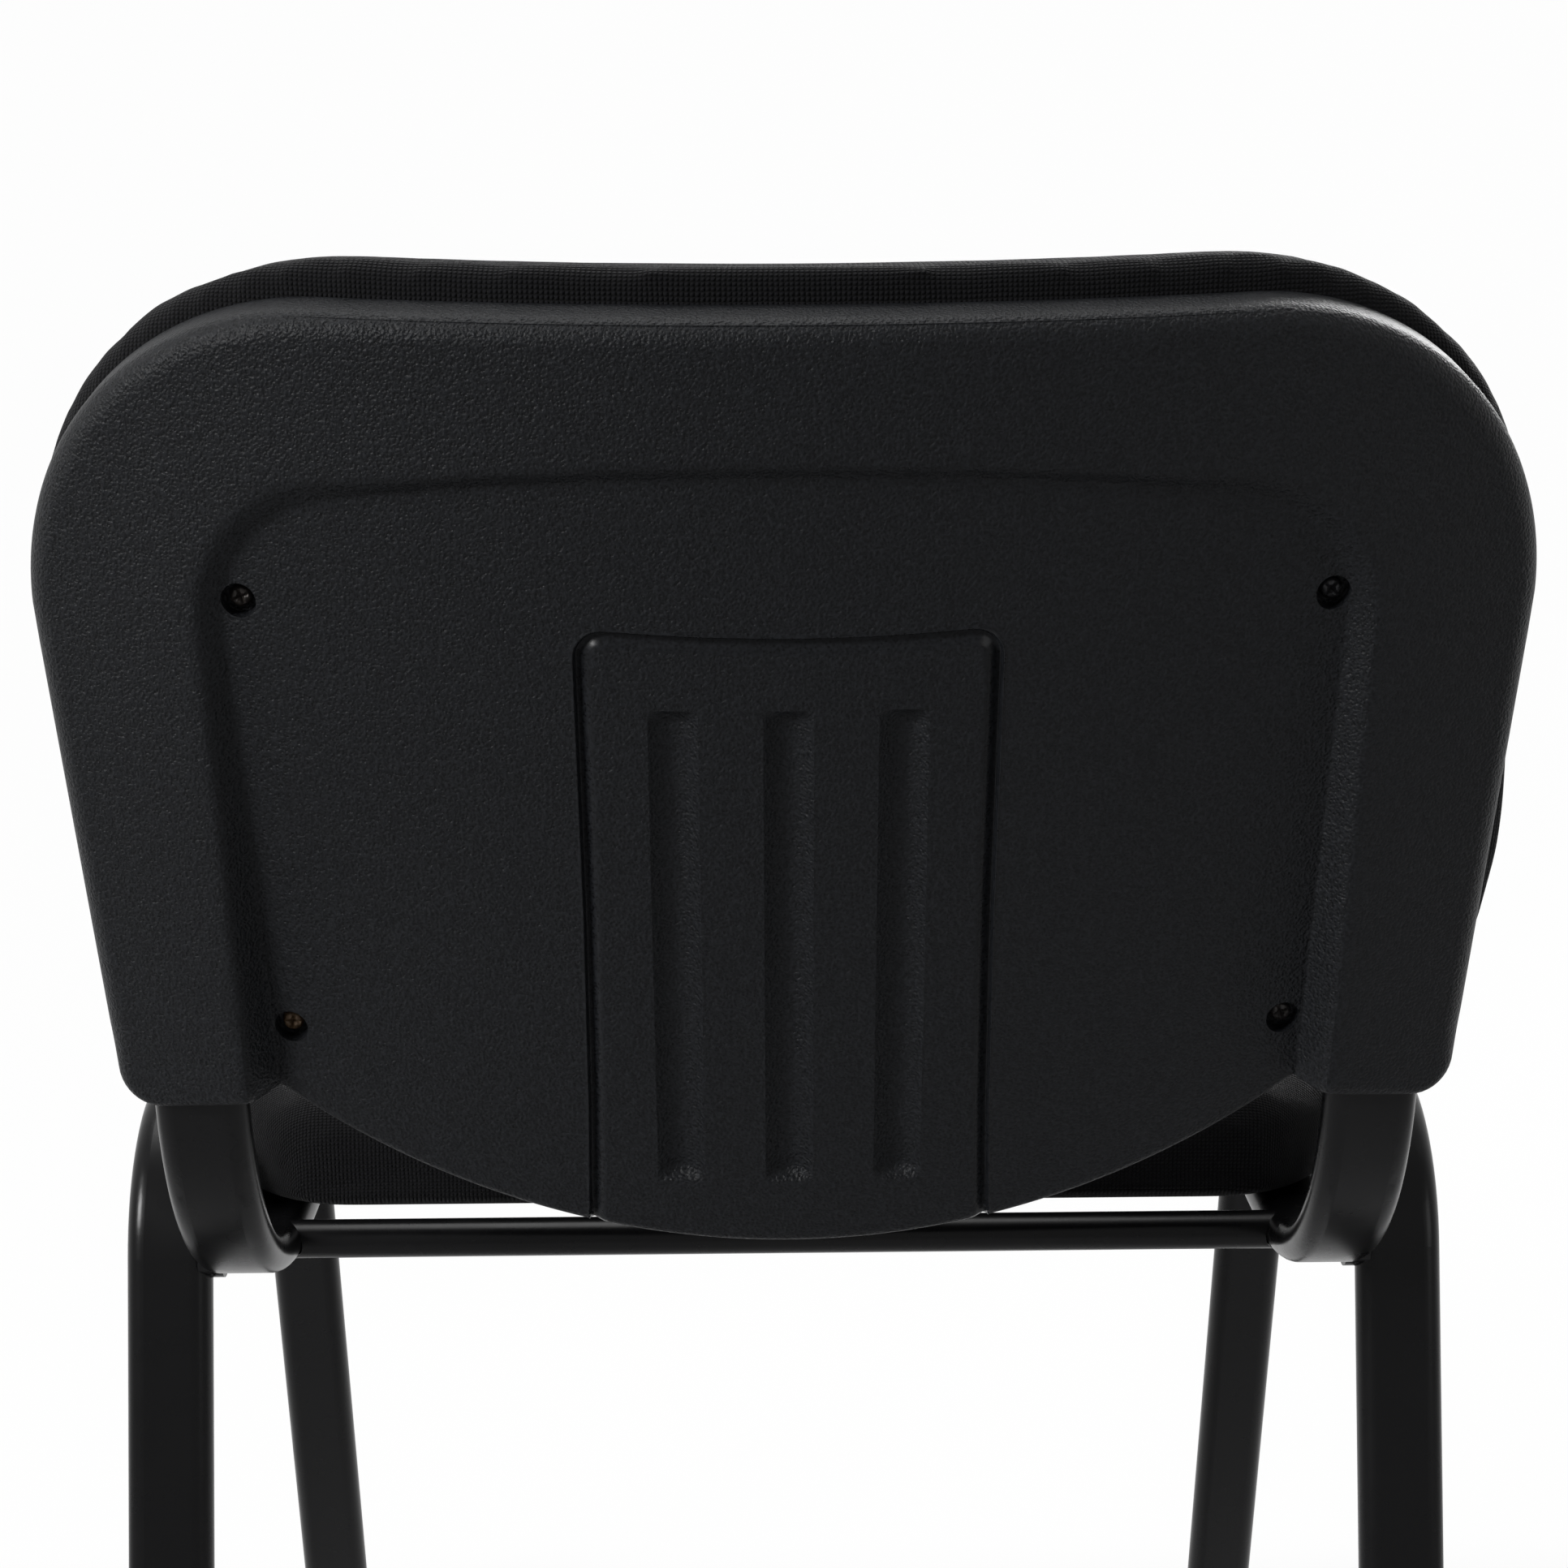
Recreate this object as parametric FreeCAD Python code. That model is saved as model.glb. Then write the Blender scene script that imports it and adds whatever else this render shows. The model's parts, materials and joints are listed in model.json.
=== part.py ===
import FreeCAD
import Part
import math
import os

from FreeCAD import Vector

# A four-legged stacking visitor chair: two leg frames and two back tubes of bent flat oval
# steel tube, two cross bars, an upholstered seat, and an upholstered back with a moulded shell.
# Millimetres. X runs across the chair, the sitter faces -Y, Z is up, and the floor is Z = 0.
# The origin lies on the floor under the middle of the chair's bounding box.

# Flat oval steel tube of the frame
TUBE_WIDTH = 35.0
TUBE_DEPTH = 16.0
TUBE_WALL = 1.5

# Leg frames, one on each side: front leg, level run beside the seat, rear leg
LEG_SPACING = 508.0
FOOT_SPREAD = 503.0
STAND_AHEAD = 31.6
REAR_LEG_LEAN = 14.2
FRONT_LEG_LEAN = 14.2
LEG_TOP_HEIGHT = 451.0
LEG_BEND_RADIUS = 65.0

# Back tubes, one on each side: seat rail, wide bend, upright inside the back
WELD_GAP = 0.4
RAIL_HEIGHT = 403.0
RAIL_OVERHANG = 34.0
BACK_CORNER = 225.0
BACK_BEND_RADIUS = 118.0
BACK_LEAN = 10.0
BACK_DATUM_HEIGHT = 534.7
UPRIGHT_REACH = 205.0

# Cross bars between the seat rails, and the weld beads
BAR_DIAMETER = 16.0
BAR_WALL = 1.5
REAR_BAR_BEHIND = 8.0
FRONT_BAR_SETBACK = 22.0
WELD_RADIUS = 9.5
WELD_LENGTH = 10.0

# Plastic foot caps and end plugs
FOOT_WALL = 2.5
FOOT_SOLE = 5.0
FOOT_GRIP = 26.0
FOOT_CLEARANCE = 0.2
PLUG_FLANGE = 3.0
PLUG_GRIP = 14.0
PLUG_CLEARANCE = 0.2

# Seat: plywood board, foam and a fabric cover pulled round under the board
SEAT_DEPTH = 408.0
SEAT_SIDE_GAP = 3.5
SEAT_OVERHANG = 0.5
SEAT_HEIGHT = 56.0
SEAT_CORNER = 72.0
SEAT_BOARD = 12.0
SEAT_BOARD_INSET = 8.0
COVER = 1.5
COVER_MARGIN = 34.0
DUST_CLOTH = 0.8
DUST_CLOTH_GAP = 1.0

# Seat fixings: bolts up through the rails into tee nuts in the board
BOLT_DIAMETER = 6.0
BOLT_HOLE = 7.0
BOLT_HEAD_DIAMETER = 12.0
BOLT_HEAD_HEIGHT = 4.0
SEAT_BOLT_SPACING = 170.0
SEAT_BOLT_INSET = 7.0
TEE_NUT_BARREL = 8.0
TEE_NUT_FLANGE = 18.0
TEE_NUT_PLATE = 1.5

# Back: shared wrap radius of the shell's rear face, and the shell's walls
WRAP_RADIUS = 700.0
SHELL_WALL = 3.0
SHELL_TUBE_GAP = 5.0
SHELL_EDGE_DEPTH = 24.0
SHELL_RIM_ROUND = 7.0

# Back shell outline, measured in the plane of the uprights from the back datum
SHELL_TOP = 273.0
SHELL_HALF_WIDTH = 263.0
SHELL_WIDEST_HEIGHT = 163.0
SHELL_LOW_HALF_WIDTH = 249.0
SHELL_LOW_HEIGHT = -22.0
SHELL_CORNER = 110.0
SHELL_FOOT = -33.0
SHELL_FOOT_ROUND = 14.0
NOTCH_ROUND = 8.0
TONGUE_HALF_WIDTH = 188.0
TONGUE_JOIN = -22.0
TONGUE_BOTTOM = -77.0

# Recessed panel of the shell: deepest at the foot of the back, almost flush at its top
PANEL_HALF_WIDTH = 193.0
PANEL_LOW_HALF_WIDTH = 188.0
PANEL_TOP = 221.0
PANEL_SHOULDER = 210.0
PANEL_CORNER = 48.0
PANEL_CROWN = 2000.0
PANEL_DEPTH = 13.0
PANEL_RISE = 2.7
PANEL_DRAFT = 0.55

# Groove frame and flutes pressed into the panel
GROOVE_HALF_WIDTH = 70.0
GROOVE_TOP = 163.0
GROOVE_CORNER = 9.0
GROOVE_WIDTH = 6.0
GROOVE_DEPTH = 1.6
FLUTE_COUNT = 3
FLUTE_PITCH = 39.3
FLUTE_WIDTH = 17.0
FLUTE_DEPTH = 3.2
FLUTE_TOP = 137.0
FLUTE_BOTTOM = -50.0

# Screws that hold the shell to the back board
SHELL_SCREW_TOP_X = 186.5
SHELL_SCREW_TOP_HEIGHT = 170.7
SHELL_SCREW_LOW_X = 181.0
SHELL_SCREW_LOW_HEIGHT = 4.4
SHELL_SCREW_HOLE = 12.0
SHELL_SCREW_HEAD = 8.0
SHELL_SCREW_HEAD_HEIGHT = 2.8
SHELL_SCREW_SHANK = 4.0
SHELL_SCREW_BITE = 7.0
SHELL_BOSS_WALL = 2.0
SHELL_SCREW_SINK = 8.5

# Back cushion: plywood board, foam and fabric cover
BACK_BOARD = 9.0
BACK_BOARD_DEPTH = 26.7
BACK_BOARD_GAP = 0.2
BACK_BOARD_INSET = 10.0
BACK_CUSHION = 46.0
BACK_CUSHION_OVER_TOP = 10.0
BACK_CUSHION_CORNER = 126.0
BACK_CUSHION_OVER_SIDE = 3.5
BACK_COVER_MARGIN = 12.0

# Screws and spacers that hold the back board to the uprights
BACK_SCREW_SPACING = 120.0
BACK_SCREW_HEIGHT = 105.0
BACK_SCREW_SHANK = 5.0
BACK_SCREW_HOLE = 5.4
BACK_SCREW_HEAD = 11.0
BACK_SCREW_HEAD_HEIGHT = 3.2
BACK_SCREW_BITE = 8.0
SPACER_DIAMETER = 16.0

# Space that is longer than any piece, for cutting tools
FAR = 900.0

# Places worked out from the sizes above
leg_x = LEG_SPACING / 2
back_x = leg_x - TUBE_WIDTH - WELD_GAP
foot_middle_y = -STAND_AHEAD
rear_foot_y = foot_middle_y + FOOT_SPREAD / 2
front_foot_y = foot_middle_y - FOOT_SPREAD / 2
rear_slope = math.tan(math.radians(REAR_LEG_LEAN))
front_slope = math.tan(math.radians(FRONT_LEG_LEAN))
back_slope = math.tan(math.radians(BACK_LEAN))
back_corner_y = foot_middle_y + BACK_CORNER
back_datum_y = back_corner_y + (BACK_DATUM_HEIGHT - RAIL_HEIGHT) * back_slope
bend_reach = BACK_BEND_RADIUS * math.tan(math.radians(90.0 - BACK_LEAN) / 2)
rail_rear_y = back_corner_y - bend_reach
front_cross_y = front_foot_y + RAIL_HEIGHT * front_slope
rear_cross_y = rear_foot_y - RAIL_HEIGHT * rear_slope
rail_front_y = front_cross_y - RAIL_OVERHANG
rail_top = RAIL_HEIGHT + TUBE_DEPTH / 2
rail_bottom = RAIL_HEIGHT - TUBE_DEPTH / 2
rear_bar_y = rail_rear_y + REAR_BAR_BEHIND
front_bar_y = front_cross_y + FRONT_BAR_SETBACK
seat_half_width = leg_x - TUBE_WIDTH / 2 - SEAT_SIDE_GAP
seat_rear_y = rail_rear_y + SEAT_OVERHANG
seat_front_y = seat_rear_y - SEAT_DEPTH
seat_bolt_x = back_x - SEAT_BOLT_INSET
seat_middle_y = (rail_rear_y + rail_front_y) / 2
seat_bolt_y = [seat_middle_y - SEAT_BOLT_SPACING / 2, seat_middle_y + SEAT_BOLT_SPACING / 2]

# Wrap axis of the back: the shell's rear face clears the uprights by the shell's gap and wall
band_over_tube = TUBE_DEPTH / 2 + SHELL_TUBE_GAP + SHELL_WALL
wrap_centre = band_over_tube - math.sqrt(WRAP_RADIUS ** 2 - back_x ** 2)
boss_radius = SHELL_SCREW_HOLE / 2 + SHELL_BOSS_WALL
shell_edge_radius = WRAP_RADIUS - SHELL_EDGE_DEPTH
board_rear_radius = WRAP_RADIUS - BACK_BOARD_DEPTH
board_front_radius = board_rear_radius - BACK_BOARD
cover_rear_radius = board_rear_radius + BACK_BOARD_GAP + COVER

SIDES = {"left": 1, "right": -1}


def bent_path(corners, radius):
    """Path through the corner points, with each inner corner rounded by a tangent arc."""
    edges = []
    start = corners[0]
    for before, corner, after in zip(corners, corners[1:], corners[2:]):
        back = (before - corner).normalize()
        ahead = (after - corner).normalize()
        half_angle = back.getAngle(ahead) / 2
        reach = radius / math.tan(half_angle)
        middle = (back + ahead).normalize()
        centre = corner + middle * (radius / math.sin(half_angle))
        first = corner + back * reach
        last = corner + ahead * reach
        edges.append(Part.makeLine(start, first))
        edges.append(Part.Arc(first, centre - middle * radius, last).toShape())
        start = last
    edges.append(Part.makeLine(start, corners[-1]))
    return Part.Wire(edges)


def flat_oval(centre, along, inset):
    """Flat oval section square to the direction along, drawn in by inset."""
    across = Vector(1, 0, 0)
    deep = across.cross(along).normalize()
    round_radius = TUBE_DEPTH / 2 - inset
    flat = across * ((TUBE_WIDTH - TUBE_DEPTH) / 2)
    up = deep * round_radius
    tip = across * round_radius
    top = Part.makeLine(centre - flat + up, centre + flat + up)
    right = Part.Arc(centre + flat + up, centre + flat + tip, centre + flat - up).toShape()
    bottom = Part.makeLine(centre + flat - up, centre - flat - up)
    left = Part.Arc(centre - flat - up, centre - flat - tip, centre - flat + up).toShape()
    return Part.Wire([top, right, bottom, left])


def oval_pipe(path_points, radius, inset):
    """Solid flat oval bar along a bent path."""
    path = bent_path(path_points, radius)
    section = flat_oval(path_points[0], path_points[1] - path_points[0], inset)
    return path.makePipeShell([section], True, False)


def oval_bar(start, end, inset):
    """Straight flat oval bar from start to end."""
    face = Part.Face(flat_oval(start, end - start, inset))
    return face.extrude(end - start)


def flat_wire(points, radii, depth):
    """Closed outline of straight sides in the plane of the back, with its corners rounded."""
    corners = [Vector(x, depth, height) for x, height in points]
    edges = []
    ends = []
    for index, corner in enumerate(corners):
        before = (corners[index - 1] - corner).normalize()
        after = (corners[(index + 1) % len(corners)] - corner).normalize()
        if radii[index] == 0:
            ends.append((corner, None, corner))
            continue
        half_angle = before.getAngle(after) / 2
        reach = radii[index] / math.tan(half_angle)
        middle = (before + after).normalize()
        crown = corner + middle * (radii[index] / math.sin(half_angle) - radii[index])
        ends.append((corner + before * reach, crown, corner + after * reach))
    for index, (first, crown, last) in enumerate(ends):
        if crown is not None:
            edges.append(Part.Arc(first, crown, last).toShape())
        following = ends[(index + 1) % len(ends)][0]
        edges.append(Part.makeLine(last, following))
    return Part.Wire(edges)


def cylinder_across(radius, start, end):
    """Round bar from start to end."""
    return Part.makeCylinder(radius, (end - start).Length, start, end - start)


def leaned(shape):
    """Move a piece of the back from the plane of the uprights to its place on the chair."""
    placed = shape.copy()
    placed.rotate(Vector(0, 0, 0), Vector(1, 0, 0), -BACK_LEAN)
    placed.translate(Vector(0, back_datum_y, BACK_DATUM_HEIGHT))
    return placed


def upright_point(side, height):
    """Point on an upright's middle line at a height above the back datum, on the chair."""
    lean = math.radians(BACK_LEAN)
    return Vector(
        side * back_x,
        back_datum_y + height * math.sin(lean),
        BACK_DATUM_HEIGHT + height * math.cos(lean),
    )


def leg_axis_point(side, rear, height):
    """Point on a leg's middle line at a height above the floor."""
    if rear:
        return Vector(side * leg_x, rear_foot_y - height * rear_slope, height)
    return Vector(side * leg_x, front_foot_y + height * front_slope, height)


def leg_end_height(rear):
    """Height of the middle of the tube's end inside a foot cap."""
    lean = REAR_LEG_LEAN if rear else FRONT_LEG_LEAN
    return FOOT_SOLE + TUBE_DEPTH / 2 * math.sin(math.radians(lean))


def leg_corners(side):
    rear_end = leg_axis_point(side, True, leg_end_height(True))
    rear_top = leg_axis_point(side, True, LEG_TOP_HEIGHT)
    front_top = leg_axis_point(side, False, LEG_TOP_HEIGHT)
    front_end = leg_axis_point(side, False, leg_end_height(False))
    return [rear_end, rear_top, front_top, front_end]


def back_corners(side):
    front = Vector(side * back_x, rail_front_y, RAIL_HEIGHT)
    corner = Vector(side * back_x, back_corner_y, RAIL_HEIGHT)
    return [front, corner, upright_point(side, UPRIGHT_REACH)]


def leg_frame(side):
    outer = oval_pipe(leg_corners(side), LEG_BEND_RADIUS, 0.0)
    inner = oval_pipe(leg_corners(side), LEG_BEND_RADIUS, TUBE_WALL)
    return outer.cut(inner)


def back_tube(side):
    outer = oval_pipe(back_corners(side), BACK_BEND_RADIUS, 0.0)
    inner = oval_pipe(back_corners(side), BACK_BEND_RADIUS, TUBE_WALL)
    tube = outer.cut(inner)
    for y in seat_bolt_y:
        below = Vector(side * seat_bolt_x, y, rail_bottom - TUBE_DEPTH)
        tube = tube.cut(Part.makeCylinder(BOLT_HOLE / 2, TUBE_DEPTH * 3, below))
    for height in back_screw_heights():
        hole = leaned(back_pin(side, height, BACK_SCREW_HOLE / 2, -TUBE_DEPTH, TUBE_DEPTH))
        tube = tube.cut(hole)
    return tube


def solid_frame(side):
    """Both tubes of one side as full bars, for fitting the pieces that are welded to them."""
    legs = oval_pipe(leg_corners(side), LEG_BEND_RADIUS, 0.0)
    back = oval_pipe(back_corners(side), BACK_BEND_RADIUS, 0.0)
    return legs, back


def weld_bead(side, y):
    """Bead that fills the gap between the rounded sides of a leg and a seat rail."""
    legs, back = solid_frame(side)
    middle = side * (leg_x - TUBE_WIDTH / 2 - WELD_GAP / 2)
    start = Vector(middle - WELD_LENGTH / 2, y, RAIL_HEIGHT)
    end = Vector(middle + WELD_LENGTH / 2, y, RAIL_HEIGHT)
    return cylinder_across(WELD_RADIUS, start, end).cut(legs).cut(back)


def cross_bar(y):
    """Round bar coped to the inner sides of both seat rails."""
    reach = back_x - TUBE_WIDTH / 2 + TUBE_DEPTH / 2
    start = Vector(-reach, y, RAIL_HEIGHT)
    end = Vector(reach, y, RAIL_HEIGHT)
    bar = cylinder_across(BAR_DIAMETER / 2, start, end)
    bar = bar.cut(cylinder_across(BAR_DIAMETER / 2 - BAR_WALL, start, end))
    for side in SIDES.values():
        rail = Vector(side * back_x, y, RAIL_HEIGHT)
        stretch = Vector(0, 2 * BAR_DIAMETER, 0)
        bar = bar.cut(oval_bar(rail - stretch, rail + stretch, -WELD_GAP / 2))
    return bar


def foot_cap(side, rear):
    """Cap over a leg's end: an oval cup along the leg, cut level at the floor."""
    end = leg_axis_point(side, rear, leg_end_height(rear))
    above = leg_axis_point(side, rear, LEG_TOP_HEIGHT)
    along = (above - end).normalize()
    body = oval_bar(end - along * FOOT_GRIP, end + along * FOOT_GRIP, -FOOT_WALL - FOOT_CLEARANCE)
    pocket = oval_bar(end, end + along * FOOT_GRIP * 2, -FOOT_CLEARANCE)
    ground = Part.makeBox(FAR * 2, FAR * 2, FAR, Vector(-FAR, -FAR, -FAR))
    return body.cut(pocket).cut(ground)


def end_plug(end, outward):
    """Plug pushed into an open tube end, with a flange as large as the tube."""
    flange = oval_bar(end, end + outward * PLUG_FLANGE, 0.0)
    core = oval_bar(end, end - outward * PLUG_GRIP, TUBE_WALL + PLUG_CLEARANCE)
    return flange.fuse(core)


def rail_plug(side):
    return end_plug(back_corners(side)[0], Vector(0, -1, 0))


def upright_plug(side):
    points = back_corners(side)
    return end_plug(points[2], (points[2] - points[1]).normalize())


def seat_section(height, inset):
    """Rounded plan of the seat at a height above its underside, drawn in by inset."""
    half = seat_half_width - inset
    rear = seat_rear_y - inset
    front = seat_front_y + inset
    radius = SEAT_CORNER * half / seat_half_width
    level = rail_top + height
    points = [(half, rear), (half, front), (-half, front), (-half, rear)]
    flat = flat_wire(points, [radius] * 4, 0.0)
    flat.rotate(Vector(0, 0, 0), Vector(1, 0, 0), -90)
    flat.translate(Vector(0, 0, level))
    return flat


# Seat crown: height as a share of the seat's thickness, and how far the plan is drawn in there
SEAT_FORM = [
    (0.00, 5.0),
    (0.13, 1.5),
    (0.34, 0.0),
    (0.62, 1.0),
    (0.79, 8.0),
    (0.90, 24.0),
    (0.97, 62.0),
    (1.00, 120.0),
]


def seat_form(skin):
    """Crowned seat, smaller by skin all round."""
    span = SEAT_HEIGHT - 2 * skin
    sections = [seat_section(skin + share * span, inset + skin) for share, inset in SEAT_FORM]
    return Part.makeLoft(sections, True, True)


def seat_plan_block(inset, low, high):
    """Upright block with the seat's plan, between two heights above the underside."""
    face = Part.Face(seat_section(low, inset))
    return face.extrude(Vector(0, 0, high - low))


def seat_bolt_places():
    return [Vector(side * seat_bolt_x, y, 0) for side in SIDES.values() for y in seat_bolt_y]


def seat_holes(radius, low, high):
    """Upright pins at every seat bolt, between two heights above the floor."""
    return [
        Part.makeCylinder(radius, high - low, place + Vector(0, 0, low))
        for place in seat_bolt_places()
    ]


def cut_all(shape, tools):
    for tool in tools:
        shape = shape.cut(tool)
    return shape


def tee_nut_parts():
    """Barrel and flange of each tee nut, seen from above the seat board."""
    board_low = rail_top + COVER
    board_high = board_low + SEAT_BOARD
    barrels = seat_holes(TEE_NUT_BARREL / 2, board_low, board_high)
    plates = seat_holes(TEE_NUT_FLANGE / 2, board_high, board_high + TEE_NUT_PLATE)
    bores = seat_holes(BOLT_DIAMETER / 2, board_low - 1.0, board_high + TEE_NUT_PLATE + 1.0)
    return barrels, plates, bores


def seat_tee_nuts():
    barrels, plates, bores = tee_nut_parts()
    nuts = [barrel.fuse(plate).cut(bore) for barrel, plate, bore in zip(barrels, plates, bores)]
    return Part.makeCompound(nuts)


def seat_bolts():
    top = rail_top + COVER + SEAT_BOARD
    shanks = seat_holes(BOLT_DIAMETER / 2, rail_bottom, top)
    heads = seat_holes(BOLT_HEAD_DIAMETER / 2, rail_bottom - BOLT_HEAD_HEIGHT, rail_bottom)
    return Part.makeCompound([shank.fuse(head) for shank, head in zip(shanks, heads)])


def seat_board():
    board = seat_plan_block(SEAT_BOARD_INSET, COVER, COVER + SEAT_BOARD)
    return cut_all(board, tee_nut_parts()[0])


def seat_foam():
    filled = seat_form(COVER)
    board = seat_plan_block(SEAT_BOARD_INSET, COVER, COVER + SEAT_BOARD)
    return cut_all(filled.cut(board), tee_nut_parts()[1])


def seat_cover():
    """Fabric pulled over the foam and turned in under the board's edge."""
    skin = seat_form(0.0).cut(seat_form(COVER))
    opening = seat_plan_block(COVER_MARGIN, 0.0, COVER)
    skin = skin.cut(opening)
    return cut_all(skin, seat_holes(BOLT_HOLE / 2, rail_top - 1.0, rail_top + COVER + 1.0))


def seat_dust_cloth():
    low = COVER - DUST_CLOTH
    cloth = seat_plan_block(COVER_MARGIN + DUST_CLOTH_GAP, low, COVER)
    return cut_all(cloth, seat_holes(BOLT_HOLE / 2, rail_top, rail_top + COVER + 1.0))


def wrap_cylinder(radius, tilt_depth, tilt):
    """Long cylinder about the wrap axis, set in by tilt_depth and turned by tilt degrees."""
    axis = Vector(0, math.sin(math.radians(tilt)), math.cos(math.radians(tilt)))
    start = Vector(0, wrap_centre - tilt_depth, 0) - axis * FAR
    return Part.makeCylinder(radius, FAR * 2, start, axis)


def wrap_depth(radius, x):
    """Depth of the wrap cylinder of a radius at a distance x from the chair's middle."""
    return wrap_centre + math.sqrt(radius ** 2 - x ** 2)


def panel_depth(x, height):
    """Depth of the recessed panel's face, from the plane of the uprights."""
    return wrap_depth(WRAP_RADIUS, x) - PANEL_DEPTH + height * math.tan(math.radians(PANEL_RISE))


def block(wire, low, high):
    """Block with an outline in the plane of the back, between two depths."""
    face = Part.Face(wire)
    face.translate(Vector(0, low, 0))
    return face.extrude(Vector(0, high - low, 0))


def side_line(height, inset):
    """Half width of the shell at a height on its straight, tapering side."""
    taper = (SHELL_HALF_WIDTH - SHELL_LOW_HALF_WIDTH) / (SHELL_WIDEST_HEIGHT - SHELL_LOW_HEIGHT)
    return SHELL_HALF_WIDTH - inset + (height - SHELL_WIDEST_HEIGHT) * taper


def tongue_arc(inset):
    """Curved foot of the shell from one side of the tongue to the other."""
    half = TONGUE_HALF_WIDTH - inset
    left = Vector(-half, 0, TONGUE_JOIN + inset)
    low = Vector(0, 0, TONGUE_BOTTOM + inset)
    right = Vector(half, 0, TONGUE_JOIN + inset)
    return Part.Arc(left, low, right).toShape()


def rounded_corner(before, corner, after, radius):
    """Start, middle and end of the tangent arc that rounds a corner."""
    back = (before - corner).normalize()
    ahead = (after - corner).normalize()
    half_angle = back.getAngle(ahead) / 2
    reach = radius / math.tan(half_angle)
    middle = (back + ahead).normalize()
    crown = corner + middle * (radius / math.sin(half_angle) - radius)
    first = corner + back * reach
    last = corner + ahead * reach
    return first, crown, last


def notch(inset, foot):
    """Rounded inner corner between the tongue and the foot of the band, on the left side."""
    half = TONGUE_HALF_WIDTH - inset
    rise = TONGUE_JOIN - TONGUE_BOTTOM
    tongue_radius = (half ** 2 + rise ** 2) / (2 * rise)
    tongue_centre = Vector(0, 0, TONGUE_BOTTOM + inset + tongue_radius)
    join = Vector(half, 0, TONGUE_JOIN + inset)
    along = (foot - join).normalize()
    down = Vector(along.z, 0, -along.x)
    radius = NOTCH_ROUND + inset
    start = join + down * radius - tongue_centre
    ahead = start.dot(along)
    excess = start.dot(start) - (tongue_radius + radius) ** 2
    centre = tongue_centre + start + along * (math.sqrt(ahead ** 2 - excess) - ahead)
    on_tongue = tongue_centre + (centre - tongue_centre) * (tongue_radius / (tongue_radius + radius))
    on_foot = centre - down * radius
    middle = centre + (on_tongue + on_foot - centre * 2).normalize() * radius
    return on_tongue, middle, on_foot


def mirrored(point):
    """The same point on the other side of the chair."""
    return Vector(-point.x, point.y, point.z)


def shell_outline(inset):
    """Whole outline of the shell, drawn in by inset, as one smooth closed line."""
    foot = SHELL_FOOT + inset
    top = SHELL_TOP - inset
    low = Vector(side_line(foot, inset), 0, foot)
    high = Vector(side_line(top, inset), 0, top)
    on_tongue, notch_middle, on_foot = notch(inset, low)
    foot_first, foot_middle, foot_last = rounded_corner(on_foot, low, high, SHELL_FOOT_ROUND)
    top_first, top_middle, top_last = rounded_corner(low, high, mirrored(high), SHELL_CORNER - inset)
    half = [
        Part.Arc(on_tongue, notch_middle, on_foot).toShape(),
        Part.makeLine(on_foot, foot_first),
        Part.Arc(foot_first, foot_middle, foot_last).toShape(),
        Part.makeLine(foot_last, top_first),
        Part.Arc(top_first, top_middle, top_last).toShape(),
    ]
    tongue = Part.Arc(mirrored(on_tongue), Vector(0, 0, TONGUE_BOTTOM + inset), on_tongue).toShape()
    crest = Part.makeLine(top_last, mirrored(top_last))
    other = [edge.mirror(Vector(0, 0, 0), Vector(1, 0, 0)) for edge in half]
    return Part.Wire(Part.sortEdges([tongue] + half + [crest] + other)[0])


def cavity_outline(inset):
    """Inside of the shell: closed by the tongue's lip, open where the uprights come out."""
    tongue = tongue_arc(inset)
    left_join = tongue.Vertexes[0].Point
    right_join = tongue.Vertexes[-1].Point
    below = SHELL_FOOT - FAR / 10
    top = SHELL_TOP - inset
    gate = PANEL_HALF_WIDTH + inset
    low = Vector(side_line(below, inset), 0, below)
    high = Vector(side_line(top, inset), 0, top)
    low_left = Vector(-low.x, 0, below)
    high_left = Vector(-high.x, 0, top)
    right_gate = [Vector(gate, 0, TONGUE_JOIN + inset), Vector(gate, 0, below)]
    left_gate = [Vector(-gate, 0, below), Vector(-gate, 0, TONGUE_JOIN + inset)]
    top_first, top_middle, top_last = rounded_corner(low, high, high_left, SHELL_CORNER - inset)
    edges = [
        tongue,
        Part.makeLine(right_join, right_gate[0]),
        Part.makeLine(right_gate[0], right_gate[1]),
        Part.makeLine(right_gate[1], low),
        Part.makeLine(low, top_first),
        Part.Arc(top_first, top_middle, top_last).toShape(),
        Part.makeLine(top_last, mirrored(top_last)),
        Part.Arc(mirrored(top_last), mirrored(top_middle), mirrored(top_first)).toShape(),
        Part.makeLine(mirrored(top_first), low_left),
        Part.makeLine(low_left, left_gate[0]),
        Part.makeLine(left_gate[0], left_gate[1]),
        Part.makeLine(left_gate[1], left_join),
    ]
    return Part.Wire(edges)


def panel_outline(grow, depth):
    """Outline of the recess, whose side walls lean outwards with depth; open at the foot."""
    spread = grow + PANEL_DRAFT * (depth - panel_depth(PANEL_HALF_WIDTH, 0.0))
    below = TONGUE_BOTTOM - FAR / 10
    taper = (PANEL_HALF_WIDTH - PANEL_LOW_HALF_WIDTH) / (PANEL_SHOULDER - TONGUE_JOIN)
    high = PANEL_HALF_WIDTH + spread
    low = high - taper * (PANEL_SHOULDER - below)
    shoulder = PANEL_SHOULDER + grow
    points = [(low, below), (high, shoulder), (0, PANEL_TOP + grow), (-high, shoulder), (-low, below)]
    return flat_wire(points, [0, PANEL_CORNER, PANEL_CROWN, PANEL_CORNER, 0], depth)


def panel_block(grow):
    """Drafted block over the recess."""
    near = panel_outline(grow, -PANEL_DEPTH)
    away = panel_outline(grow, band_over_tube + 5 * PANEL_DEPTH)
    return Part.makeLoft([near, away], True, True)


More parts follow.
